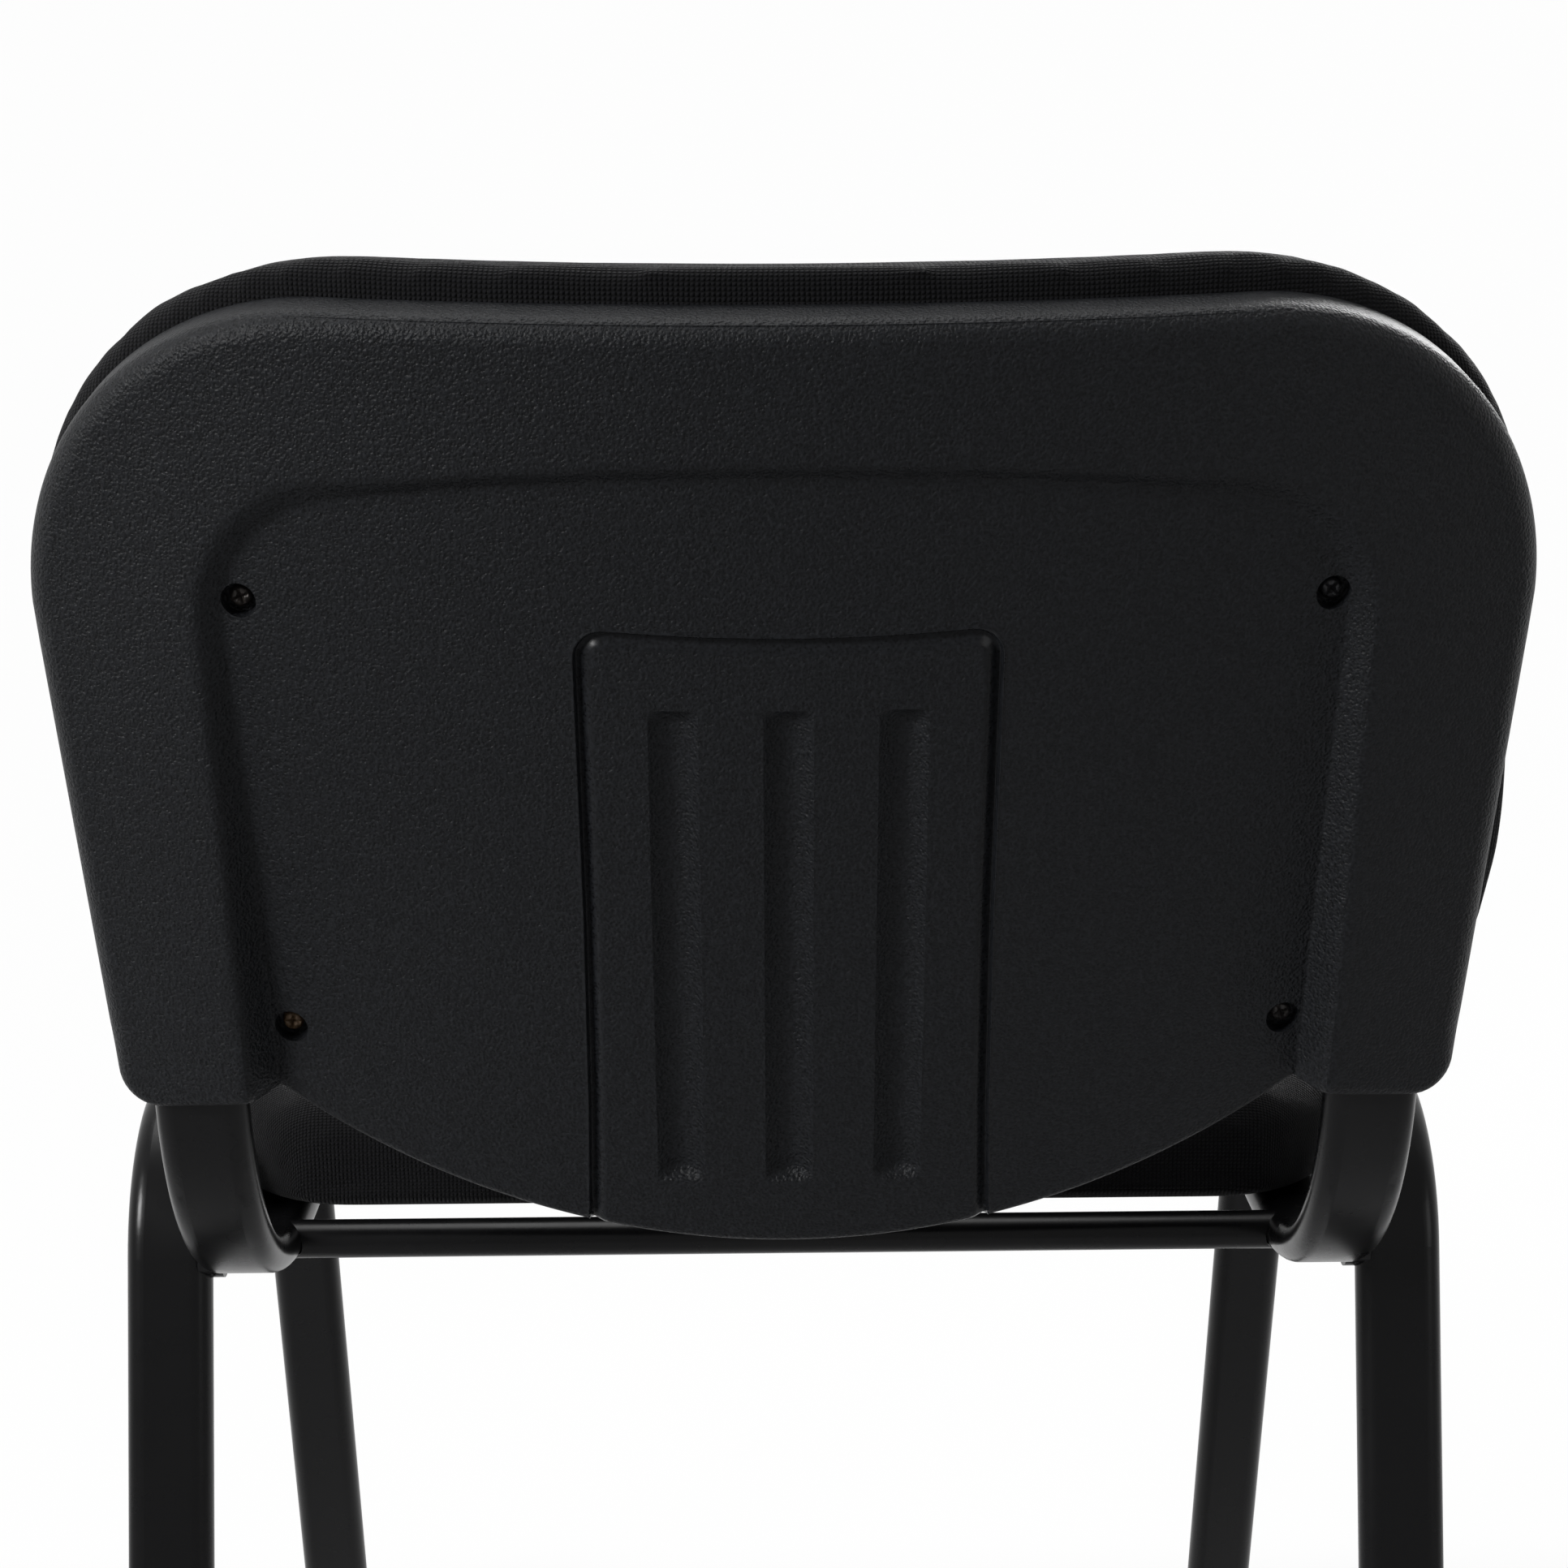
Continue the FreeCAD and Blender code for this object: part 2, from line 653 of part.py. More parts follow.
def flute(x, grow):
    """Round-ended cutter for one flute, lying along the panel's face."""
    half = FLUTE_WIDTH / 2
    radius = (half ** 2 + FLUTE_DEPTH ** 2) / (2 * FLUTE_DEPTH)
    lift = radius - FLUTE_DEPTH
    low_height = FLUTE_BOTTOM + half
    high_height = FLUTE_TOP - half
    low = Vector(x, panel_depth(x, low_height) + lift, low_height)
    high = Vector(x, panel_depth(x, high_height) + lift, high_height)
    body = cylinder_across(radius + grow, low, high)
    for end in (low, high):
        body = body.fuse(Part.makeSphere(radius + grow, end))
    return body


def flute_places():
    middle = (FLUTE_COUNT - 1) / 2
    return [(index - middle) * FLUTE_PITCH for index in range(FLUTE_COUNT)]


def groove_block(offset):
    """Block inside one edge of the groove frame, which runs out at the panel's foot."""
    half = GROOVE_HALF_WIDTH + offset
    top = GROOVE_TOP + offset
    below = TONGUE_BOTTOM - FAR / 10
    points = [(half, below), (half, top), (-half, top), (-half, below)]
    corner = GROOVE_CORNER + offset
    return block(flat_wire(points, [0, corner, corner, 0], 0.0), 0.0, FAR / 4)


def groove_frame():
    """Shallow channel round the flutes, cut into the panel's face."""
    ring = groove_block(GROOVE_WIDTH / 2).cut(groove_block(-GROOVE_WIDTH / 2))
    return ring.cut(wrap_cylinder(WRAP_RADIUS, PANEL_DEPTH + GROOVE_DEPTH, PANEL_RISE))


def shell_screw_places():
    places = []
    for side in SIDES.values():
        places.append((side * SHELL_SCREW_TOP_X, SHELL_SCREW_TOP_HEIGHT))
        places.append((side * SHELL_SCREW_LOW_X, SHELL_SCREW_LOW_HEIGHT))
    return places


def pin_through(x, height, radius, low, high):
    """Round pin square to the plane of the back, between two depths."""
    return Part.makeCylinder(radius, high - low, Vector(x, low, height), Vector(0, 1, 0))


def back_pin(side, height, radius, low, high):
    """Round pin on an upright's middle line."""
    return pin_through(side * back_x, height, radius, low, high)


def boss_reach(x):
    """Depth of the board's rear face under a screw, at the side of the boss that lies lowest."""
    return wrap_depth(board_rear_radius, abs(x) + boss_radius)


def screw_seat(x, height):
    """Depth of the face that a shell screw's head bears on."""
    return panel_depth(x, height) - SHELL_SCREW_SINK


def back_shell():
    """Moulded rear shell: raised band over the uprights round a recessed, ornamented panel."""
    body = block(shell_outline(0.0), -FAR / 4, FAR / 4)
    body = body.common(wrap_cylinder(WRAP_RADIUS, 0.0, 0.0))
    body = body.cut(wrap_cylinder(shell_edge_radius, 0.0, 0.0))
    body = body.makeFillet(SHELL_RIM_ROUND, rim_edges(body))
    recess = panel_block(0.0).cut(wrap_cylinder(WRAP_RADIUS, PANEL_DEPTH, PANEL_RISE))
    body = body.cut(recess)
    cavity = block(cavity_outline(SHELL_WALL), -FAR / 4, FAR / 4)
    cavity = cavity.common(wrap_cylinder(WRAP_RADIUS - SHELL_WALL, 0.0, 0.0))
    floor = wrap_cylinder(WRAP_RADIUS - SHELL_WALL, PANEL_DEPTH, PANEL_RISE)
    cavity = cavity.cut(panel_block(SHELL_WALL).cut(floor))
    cavity = cut_all(cavity, [flute(x, SHELL_WALL) for x in flute_places()])
    shell = body.cut(cavity)
    shell = cut_all(shell, [flute(x, 0.0) for x in flute_places()])
    shell = shell.cut(groove_frame())
    for x, height in shell_screw_places():
        under_face = panel_depth(x, height) - SHELL_WALL / 2
        boss = pin_through(x, height, boss_radius, boss_reach(x), under_face)
        boss = boss.cut(wrap_cylinder(board_rear_radius, 0.0, 0.0))
        shell = shell.fuse(boss)
        shell = shell.cut(pin_through(x, height, SHELL_SCREW_HOLE / 2, screw_seat(x, height), FAR / 4))
        shell = shell.cut(pin_through(x, height, SHELL_SCREW_SHANK / 2, -FAR / 4, FAR / 4))
    return leaned(shell)


def rim_edges(body):
    """Edges round the shell's rear face."""
    chosen = []
    for edge in body.Edges:
        points = [edge.valueAt(edge.FirstParameter), edge.valueAt(edge.LastParameter)]
        on_rear = all(
            abs(math.hypot(p.x, p.y - wrap_centre) - WRAP_RADIUS) < 0.01 for p in points
        )
        if on_rear:
            chosen.append(edge)
    return chosen


def shell_screws():
    screws = []
    for x, height in shell_screw_places():
        seat = screw_seat(x, height)
        head = pin_through(x, height, SHELL_SCREW_HEAD / 2, seat, seat + SHELL_SCREW_HEAD_HEIGHT)
        tip = wrap_depth(board_rear_radius, x) - SHELL_SCREW_BITE
        shank = pin_through(x, height, SHELL_SCREW_SHANK / 2, tip, seat)
        screws.append(leaned(head.fuse(shank)))
    return Part.makeCompound(screws)


def back_screw_heights():
    return [BACK_SCREW_HEIGHT - BACK_SCREW_SPACING / 2, BACK_SCREW_HEIGHT + BACK_SCREW_SPACING / 2]


def back_screw_tip():
    return wrap_depth(board_rear_radius, back_x) - BACK_SCREW_BITE


def back_screws():
    screws = []
    seat = TUBE_DEPTH / 2
    for side in SIDES.values():
        for height in back_screw_heights():
            head = back_pin(side, height, BACK_SCREW_HEAD / 2, seat, seat + BACK_SCREW_HEAD_HEIGHT)
            shank = back_pin(side, height, BACK_SCREW_SHANK / 2, back_screw_tip(), seat)
            screws.append(leaned(head.fuse(shank)))
    return Part.makeCompound(screws)


def back_spacers():
    """Wedge-faced spacers between the uprights and the curved board."""
    spacers = []
    face = -TUBE_DEPTH / 2
    far_side = wrap_depth(board_rear_radius, back_x + SPACER_DIAMETER / 2)
    for side in SIDES.values():
        for height in back_screw_heights():
            body = back_pin(side, height, SPACER_DIAMETER / 2, far_side, face)
            body = body.cut(wrap_cylinder(board_rear_radius, 0.0, 0.0))
            body = body.cut(back_pin(side, height, BACK_SCREW_HOLE / 2, far_side - 1.0, face + 1.0))
            spacers.append(leaned(body))
    return Part.makeCompound(spacers)


def behind_board_face(inset):
    """All the space behind the front face of the back board, inside an outline."""
    space = block(shell_outline(inset), -FAR / 4, FAR / 4)
    return space.cut(wrap_cylinder(board_front_radius, 0.0, 0.0))


def back_board():
    board = behind_board_face(BACK_BOARD_INSET)
    board = board.common(wrap_cylinder(board_rear_radius, 0.0, 0.0))
    for x, height in shell_screw_places():
        tip = wrap_depth(board_rear_radius, x) - SHELL_SCREW_BITE
        board = board.cut(pin_through(x, height, SHELL_SCREW_SHANK / 2, tip, FAR / 4))
    for side in SIDES.values():
        for height in back_screw_heights():
            board = board.cut(back_pin(side, height, BACK_SCREW_SHANK / 2, back_screw_tip(), FAR / 4))
    return leaned(board)


# Back cushion, share of the full thickness: up the tongue, at the foot, up the side, round the top
TONGUE_FORM = [(0.05, 0.45), (0.20, 0.62), (0.50, 0.76), (0.85, 0.86)]
FOOT_FORM = [(0.35, 1.1, 0.88), (0.8, 0.45, 0.90), (1.6, 0.1, 0.93)]
SIDE_FORM = [(0.30, 0.98), (0.65, 1.0)]
CORNER_FORM = [
    (0, 1.0),
    (18, 1.0),
    (34, 0.97),
    (48, 0.92),
    (60, 0.86),
    (70, 0.79),
    (78, 0.70),
    (85, 0.56),
]


def back_form_rows():
    """Height above the datum, half width and share of the thickness, from the foot to the top."""
    top = SHELL_TOP + BACK_CUSHION_OVER_TOP
    corner = BACK_CUSHION_CORNER
    rows = []
    tongue_rise = TONGUE_JOIN - TONGUE_BOTTOM
    tongue_radius = (TONGUE_HALF_WIDTH ** 2 + tongue_rise ** 2) / (2 * tongue_rise)
    for share, thick in TONGUE_FORM:
        rise = tongue_rise * share
        half = math.sqrt(2 * tongue_radius * rise - rise ** 2)
        rows.append((TONGUE_BOTTOM + rise, half, thick))
    wide = side_line(SHELL_LOW_HEIGHT, 0.0)
    for rise, draw_in, thick in FOOT_FORM:
        height = SHELL_FOOT + rise * SHELL_FOOT_ROUND
        rows.append((height, wide - draw_in * SHELL_FOOT_ROUND, thick))
    for share, thick in SIDE_FORM:
        height = SHELL_LOW_HEIGHT + share * (SHELL_WIDEST_HEIGHT - SHELL_LOW_HEIGHT)
        rows.append((height, side_line(height, -BACK_CUSHION_OVER_SIDE), thick))
    widest = SHELL_HALF_WIDTH + BACK_CUSHION_OVER_SIDE
    for turn, thick in CORNER_FORM:
        angle = math.radians(turn)
        half = widest - corner + corner * math.cos(angle)
        rows.append((top - corner + corner * math.sin(angle), half, thick))
    return rows


def back_section(height, half, thick, skin):
    """Level section of the cushion: two wrapped faces and two rounded sides."""
    rear = cover_rear_radius - skin
    front = cover_rear_radius - BACK_CUSHION * thick + skin
    side = half - skin
    rear_x = side - BACK_CUSHION * 0.10
    front_x = side - BACK_CUSHION * 0.22
    rear_right = Vector(rear_x, wrap_depth(rear, rear_x), height)
    rear_left = Vector(-rear_x, rear_right.y, height)
    front_right = Vector(front_x, wrap_depth(front, front_x), height)
    front_left = Vector(-front_x, front_right.y, height)
    bulge = Vector(side, (rear_right.y + front_right.y) / 2, height)
    bulge_left = Vector(-side, bulge.y, height)
    edges = [
        Part.Arc(rear_left, Vector(0, wrap_depth(rear, 0), height), rear_right).toShape(),
        Part.Arc(rear_right, bulge, front_right).toShape(),
        Part.Arc(front_right, Vector(0, wrap_depth(front, 0), height), front_left).toShape(),
        Part.Arc(front_left, bulge_left, rear_left).toShape(),
    ]
    return Part.Wire(edges)


def back_form(skin):
    """Crowned, wrapped back cushion, smaller by skin all round."""
    rows = back_form_rows()
    last = len(rows) - 1
    sections = []
    for index, (height, half, thick) in enumerate(rows):
        shift = skin if index == 0 else -skin if index == last else 0.0
        sections.append(back_section(height + shift, half, thick, skin))
    return Part.makeLoft(sections, True, True)


def back_foam():
    return leaned(back_form(COVER).cut(behind_board_face(BACK_BOARD_INSET)))


def back_cover():
    """Fabric pulled over the foam and turned in behind the board's edge."""
    skin = back_form(0.0).cut(back_form(COVER))
    return leaned(skin.cut(behind_board_face(BACK_BOARD_INSET + BACK_COVER_MARGIN)))


def make_pieces():
    """Every piece of the chair, by node name."""
    pieces = {}
    for name, side in SIDES.items():
        pieces["leg_frame_" + name] = leg_frame(side)
        pieces["back_tube_" + name] = back_tube(side)
        pieces["rear_weld_" + name] = weld_bead(side, rear_cross_y)
        pieces["front_weld_" + name] = weld_bead(side, front_cross_y)
        pieces["rear_foot_" + name] = foot_cap(side, True)
        pieces["front_foot_" + name] = foot_cap(side, False)
        pieces["rail_plug_" + name] = rail_plug(side)
        pieces["upright_plug_" + name] = upright_plug(side)
    pieces["rear_cross_bar"] = cross_bar(rear_bar_y)
    pieces["front_cross_bar"] = cross_bar(front_bar_y)
    pieces["seat_board"] = seat_board()
    pieces["seat_foam"] = seat_foam()
    pieces["seat_cover"] = seat_cover()
    pieces["seat_dust_cloth"] = seat_dust_cloth()
    pieces["seat_tee_nuts"] = seat_tee_nuts()
    pieces["seat_bolts"] = seat_bolts()
    pieces["back_board"] = back_board()
    pieces["back_foam"] = back_foam()
    pieces["back_cover"] = back_cover()
    pieces["back_shell"] = back_shell()
    pieces["shell_screws"] = shell_screws()
    pieces["back_screws"] = back_screws()
    pieces["back_spacers"] = back_spacers()
    return pieces


os.makedirs("parts", exist_ok=True)
for node, shape in make_pieces().items():
    shape.exportStep("parts/" + node + ".step")
    print(node, len(shape.Solids), "solids", round(shape.Volume / 1000, 1), "cm3", shape.isValid())
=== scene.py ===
import json
import math

import bmesh
import bpy
import numpy as np
from bpy.props import FloatProperty, FloatVectorProperty, IntProperty, PointerProperty, StringProperty
from mathutils import Matrix, Vector, kdtree
from mathutils.geometry import delaunay_2d_cdt


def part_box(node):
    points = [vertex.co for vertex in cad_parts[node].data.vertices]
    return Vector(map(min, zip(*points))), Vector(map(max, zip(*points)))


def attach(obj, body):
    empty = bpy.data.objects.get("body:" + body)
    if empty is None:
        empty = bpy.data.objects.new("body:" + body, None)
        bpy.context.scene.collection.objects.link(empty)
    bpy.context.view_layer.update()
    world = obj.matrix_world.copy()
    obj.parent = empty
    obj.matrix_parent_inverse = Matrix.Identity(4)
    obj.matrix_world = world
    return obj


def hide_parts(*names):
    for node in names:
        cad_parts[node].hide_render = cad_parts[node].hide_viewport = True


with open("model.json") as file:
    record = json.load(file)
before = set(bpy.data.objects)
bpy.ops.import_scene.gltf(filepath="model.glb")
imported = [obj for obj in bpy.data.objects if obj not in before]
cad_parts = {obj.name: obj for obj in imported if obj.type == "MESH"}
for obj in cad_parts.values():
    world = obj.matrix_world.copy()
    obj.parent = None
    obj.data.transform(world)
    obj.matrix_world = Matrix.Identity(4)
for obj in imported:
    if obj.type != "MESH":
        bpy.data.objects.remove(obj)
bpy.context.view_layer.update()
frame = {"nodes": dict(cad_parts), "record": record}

bl_info = {
    "name": "Visitor chair",
    "version": (1, 0, 0),
    "blender": (4, 5, 0),
    "location": "View3D > Sidebar > Chair",
    "description": "Builds the soft, moulded and repeated pieces of a stacking visitor chair",
    "category": "Object",
}

MM = 0.001
PHOTO_SIDE = 1932


# Sizes and colours


class ChairShellSettings(bpy.types.PropertyGroup):
    """Sizes of the moulded back shell, in the plane of the uprights."""

    lean: FloatProperty(
        name="Lean", description="Recline of the uprights", default=math.radians(10.0), subtype="ANGLE")
    datum: FloatVectorProperty(
        name="Datum", description="Point on the uprights' plane that shell heights count from",
        default=(0.0, 0.21662, 0.5347), subtype="TRANSLATION", unit="LENGTH")
    wrap_radius: FloatProperty(
        name="Wrap radius", description="Radius of the rear face across the chair",
        default=0.700, unit="LENGTH")
    wrap_centre: FloatProperty(
        name="Wrap centre", description="Depth of the wrap's axis", default=-0.64899, unit="LENGTH")
    rim_round: FloatProperty(
        name="Rim rounding", description="Radius of the rear rim", default=0.0085, unit="LENGTH")
    rim_depth: FloatProperty(
        name="Rim depth", description="Depth of the side and top walls", default=0.024, unit="LENGTH")
    wall: FloatProperty(name="Wall", description="Thickness of the moulding", default=0.003, unit="LENGTH")
    panel_depth: FloatProperty(
        name="Panel depth", description="Depth of the recess at the datum", default=0.015, unit="LENGTH")
    panel_rise: FloatProperty(
        name="Panel rise", description="Slope of the recess towards its top", default=0.045)
    groove_depth: FloatProperty(
        name="Groove depth", description="Depth of the groove frame", default=0.0024, unit="LENGTH")
    flute_depth: FloatProperty(
        name="Flute depth", description="Depth of the three flutes", default=0.0042, unit="LENGTH")
    grid: FloatProperty(
        name="Grid", description="Spacing of the mesh on the plain faces", default=0.0042, unit="LENGTH")


class ChairCushionSettings(bpy.types.PropertyGroup):
    """Sizes of the upholstered seat and back."""

    voxel: FloatProperty(
        name="Voxel", description="Remesh size before the cloth simulation", default=0.005, unit="LENGTH")
    pressure: FloatProperty(
        name="Pressure", description="Cloth pressure that fills the cushions", default=4.0)
    frames: IntProperty(name="Frames", description="Length of the cloth simulation", default=20)
    swell: FloatProperty(name="Swell", description="Most that a point may move", default=0.004, unit="LENGTH")
    thickness: FloatProperty(
        name="Back thickness", description="Full thickness of the back cushion",
        default=0.046, unit="LENGTH")


class ChairFinishSettings(bpy.types.PropertyGroup):
    """Colours as sRGB hex, and pattern sizes."""

    shell: StringProperty(
        name="Shell", description="Grained polypropylene of the back shell", default="#121315")
    tube: StringProperty(name="Tube", description="Black powder coat of the frame", default="#080809")
    fabric: StringProperty(name="Fabric", description="Yarn of the cushions' weave", default="#131316")
    cap: StringProperty(name="Cap", description="Polyethylene of feet and plugs", default="#141415")
    grain: FloatProperty(
        name="Grain", description="Width of one pebble of the shell's grain", default=0.0011, unit="LENGTH")
    thread: FloatProperty(
        name="Thread", description="Spacing of the fabric's threads", default=0.0017, unit="LENGTH")


class ChairStageSettings(bpy.types.PropertyGroup):
    """Place, aim and lens of the camera."""

    focal: FloatProperty(
        name="Focal length", description="Focal length in pixels of the square picture", default=3500.0)
    place: FloatVectorProperty(
        name="Camera", description="Place of the camera",
        default=(0.014, 1.2211, 0.855), subtype="TRANSLATION", unit="LENGTH")
    pitch: FloatProperty(
        name="Pitch", description="Downward tilt of the camera",
        default=math.radians(13.0), subtype="ANGLE")
    yaw: FloatProperty(
        name="Yaw", description="Turn of the camera off the chair's middle",
        default=math.radians(0.75), subtype="ANGLE")
    roll: FloatProperty(
        name="Roll", description="Roll of the camera", default=math.radians(0.3), subtype="ANGLE")


# Small shared helpers


def linear(hex_colour):
    """An sRGB hex colour as linear RGBA."""
    parts = [int(hex_colour[i:i + 2], 16) / 255 for i in (1, 3, 5)]
    return tuple(c / 12.92 if c <= 0.04045 else ((c + 0.055) / 1.055) ** 2.4 for c in parts) + (1.0,)


def feed(made, inputs):
    """Set a node's inputs: a node links its first usable output, a socket links itself, a value is set."""
    for key, value in inputs.items():
        if isinstance(value, bpy.types.Node):
            value = next(socket for socket in value.outputs if socket.enabled)
        if isinstance(value, bpy.types.NodeSocket):
            made.id_data.links.new(value, made.inputs[key])
        else:
            made.inputs[key].default_value = value


def node(tree, kind, inputs=None, **settings):
    """Add a node with its settings, then feed its inputs."""
    made = tree.nodes.new(kind)
    for key, value in settings.items():
        setattr(made, key, value)
    feed(made, inputs or {})
    return made


def new_material(name):
    """An empty node material with its output and main shader."""
    material = bpy.data.materials.new(name)
    material.use_nodes = True
    tree = material.node_tree
    tree.nodes.clear()
    shader = node(tree, "ShaderNodeBsdfPrincipled")
    node(tree, "ShaderNodeOutputMaterial", {"Surface": shader})
    return material, tree, shader


def shade_smooth(mesh, sharp_degrees=None):
    """Smooth shading, with edges over an angle kept sharp where one is given."""
    mesh.polygons.foreach_set("use_smooth", [True] * len(mesh.polygons))
    if sharp_degrees is not None:
        mesh.set_sharp_from_angle(angle=math.radians(sharp_degrees))


def mesh_object(name, points, faces, material=None):
    """A new mesh object at the origin; points in metres."""
    mesh = bpy.data.meshes.new(name)
    mesh.from_pydata([tuple(p) for p in points], [], [tuple(f) for f in faces])
    mesh.update()
    made = bpy.data.objects.new(name, mesh)
    bpy.context.collection.objects.link(made)
    if material is not None:
        mesh.materials.append(material)
    return made


def vertex_array(mesh):
    """Points of a mesh as an array."""
    points = np.empty(len(mesh.vertices) * 3, np.float32)
    mesh.vertices.foreach_get("co", points)
    return points.reshape(-1, 3).astype(float)


def apply_modifier(piece, kind, **settings):
    """Add a modifier to the active piece and apply it."""
    modifier = piece.modifiers.new(kind.title(), kind)
    for key, value in settings.items():
        setattr(modifier, key, value)
    bpy.ops.object.modifier_apply(modifier=modifier.name)


def turn_outwards(piece):
    """Merge doubles and point every face of a closed piece outwards."""
    work = bmesh.new()
    work.from_mesh(piece.data)
    bmesh.ops.remove_doubles(work, verts=work.verts, dist=1e-6)
    bmesh.ops.recalc_face_normals(work, faces=work.faces)
    work.to_mesh(piece.data)
    work.free()
    piece.data.update()


def fit(piece, nodes=()):
    """Ride on the chair's one body and stand for CAD nodes."""
    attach(piece, "root")
    if nodes:
        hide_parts(*nodes)


def back_point(settings, x, height, depth):
    """A point given across, up and out from the plane of the uprights, on the chair, in metres."""
    sine, cosine = math.sin(settings.lean), math.cos(settings.lean)
    datum = settings.datum
    return (x, datum[1] + height * sine + depth * cosine, datum[2] + height * cosine - depth * sine)


def smooth_step(value, low, high):
    """0 below low and 1 above high, with an even S between."""
    t = np.clip((value - low) / (high - low), 0.0, 1.0)
    return t * t * (3 - 2 * t)


def distance_to_line(points, line, closed=False):
    """Distance from each point to a polyline, and the side it lies on (positive to the left)."""
    ends = np.roll(line, -1, axis=0) if closed else line[1:]
    starts = line if closed else line[:-1]
    best = np.full(len(points), 1e9)
    side = np.zeros(len(points))
    for a, b in zip(starts, ends):
        along = b - a
        offset = points - a
        t = np.clip(offset @ along / (along @ along), 0.0, 1.0)
        gap = offset - t[:, None] * along
        distance = np.hypot(gap[:, 0], gap[:, 1])
        nearer = distance < best
        best = np.where(nearer, distance, best)
        side = np.where(nearer, along[0] * offset[:, 1] - along[1] * offset[:, 0], side)
    return best, np.sign(side)


def arc_points(centre, radius, start, end, count):
    """Points on an arc, angles in degrees."""
    angles = np.radians(np.linspace(start, end, count))
    return np.stack([centre[0] + radius * np.cos(angles), centre[1] + radius * np.sin(angles)], axis=1)


def resample(line, spacing, closed=False):
    """Points evenly spaced along a polyline."""
    path = np.vstack([line, line[:1]]) if closed else line
    steps = np.hypot(*np.diff(path, axis=0).T)
    length = np.concatenate([[0.0], np.cumsum(steps)])
    count = max(2, int(round(length[-1] / spacing)))
    at = np.linspace(0.0, length[-1], count + 1)
    if closed:
        at = at[:-1]
    return np.stack([np.interp(at, length, path[:, 0]), np.interp(at, length, path[:, 1])], axis=1)


def mirrored(line):
    """The same line on the other side of the chair, run the other way."""
    return (line * np.array([-1.0, 1.0]))[::-1]


# Back shell: outline and features in millimetres, across and up from the datum

# Tongue at the foot of the back, a shallow arc
TONGUE_HALF = 188.0
TONGUE_RISE = 55.0
TONGUE_FOOT = -77.0
TONGUE_RADIUS = (TONGUE_HALF ** 2 + TONGUE_RISE ** 2) / (2 * TONGUE_RISE)
TONGUE_END = 182.5

# Rim rounding where the shell is thin, below the sides
RIM_FOOT = 3.2
RIM_FADE = (-34.0, 0.0)

# Recess wall: its run at the top, what the sides add, its rounded edge and the fine lip at its foot
WALL_RUN = 5.0
WALL_RUN_SIDES = 4.0
WALL_SIDES = (120.0, 180.0)
WALL_ROUND = 0.03
WALL_FULL = 1.0074
LIP_HEIGHT = 0.3
LIP_WIDTH = 0.55

# Groove frame: bead outside it, steep outer wall, long inner slope and polished strip
BEAD_HEIGHT = 0.30
BEAD_PLACE = -0.35
BEAD_WIDTH = 0.38
GROOVE_WALL = (-0.1, 1.0)
GROOVE_SLOPE = (1.2, 6.4)
POLISH_START = (-1.2, -0.6)
POLISH_END = (5.2, 6.8)

# Rim wall, shallow below a height: along the foot beside the tongue, and under the tongue
RIM_LOW = -20.5
FOOT_SPAN = (180.0, 244.0)
FOOT_WALL = 4.0
TONGUE_SPAN = 187.0
TONGUE_WALL = 7.0

# Inner face, drawn in by the wall at the widest place, towards a height
WALL_DRAW = 2.5
WIDEST_HALF = 264.0
DRAW_HEIGHT = 100.0

# Flutes, screw wells and the bosses behind them
FLUTES = (-39.3, 0.0, 39.3)
FLUTE_HALF = 8.6
FLUTE_TOP = 138.0
FLUTE_FOOT = -50.0
FLUTE_END = 5.4
SCREWS = ((186.5, 170.7), (-186.5, 170.7), (181.0, 4.4), (-181.0, 4.4))
SCREW_HOLE = 6.2
SCREW_SINK = 6.5
SCREW_LIP = 0.5
BOSS = 8.6
RING_POINTS = 40
BOARD_WRAP = 673.6

# Lines of mesh points beside the rim, the recess wall, its foot and the groove
RIM_STEPS = (0.5, 1.3, 2.4, 3.8, 5.6, 7.4, 9.0)
WALL_STEPS = (1.3, 3.0, 4.6, 6.0, 7.2, 8.4, 9.6, 11.0, 12.6, 15.0)
FOOT_STEPS = (0.5, 1.2, -0.5)
GROOVE_STEPS = (
    -1.5, -0.9, -0.6, -0.35, -0.1, 0.15, 0.45, 0.8, 1.1,
    1.8, 2.5, 3.2, 3.9, 4.6, 5.3, 6.0, 6.7, 7.6,
)
FLUTE_STEPS = (-1.0, -0.86, -0.66, -0.4, -0.13, 0.13, 0.4, 0.66, 0.86, 1.0)


def shell_outline():
    """Closed outline of the shell, anticlockwise, from the middle of the tongue."""
    half = math.degrees(math.asin(TONGUE_END / TONGUE_RADIUS))
    tongue = arc_points((0.0, TONGUE_FOOT + TONGUE_RADIUS), TONGUE_RADIUS, -90.0, -90.0 + half, 60)
    notch = np.array([[185.8, -23.6], [189.0, -22.6], [192.5, -23.0], [197.0, -24.0]])
    foot = np.array([[215.0, -27.0], [232.5, -30.2]])
    corner = arc_points((234.3, -16.2), 14.0, -97.0, -4.5, 14)
    side = np.array([[250.4, 0.0], [255.1, 60.0], [259.8, 120.0], [262.0, 148.0]])
    shoulder = arc_points((153.0, 163.0), 110.0, 0.0, 90.0, 46)
    top = np.array([[100.0, 273.3], [50.0, 273.5], [0.0, 273.6]])
    right = np.vstack([tongue, notch, foot, corner, side, shoulder, top])
    return np.vstack([right, mirrored(right)[1:-1]])


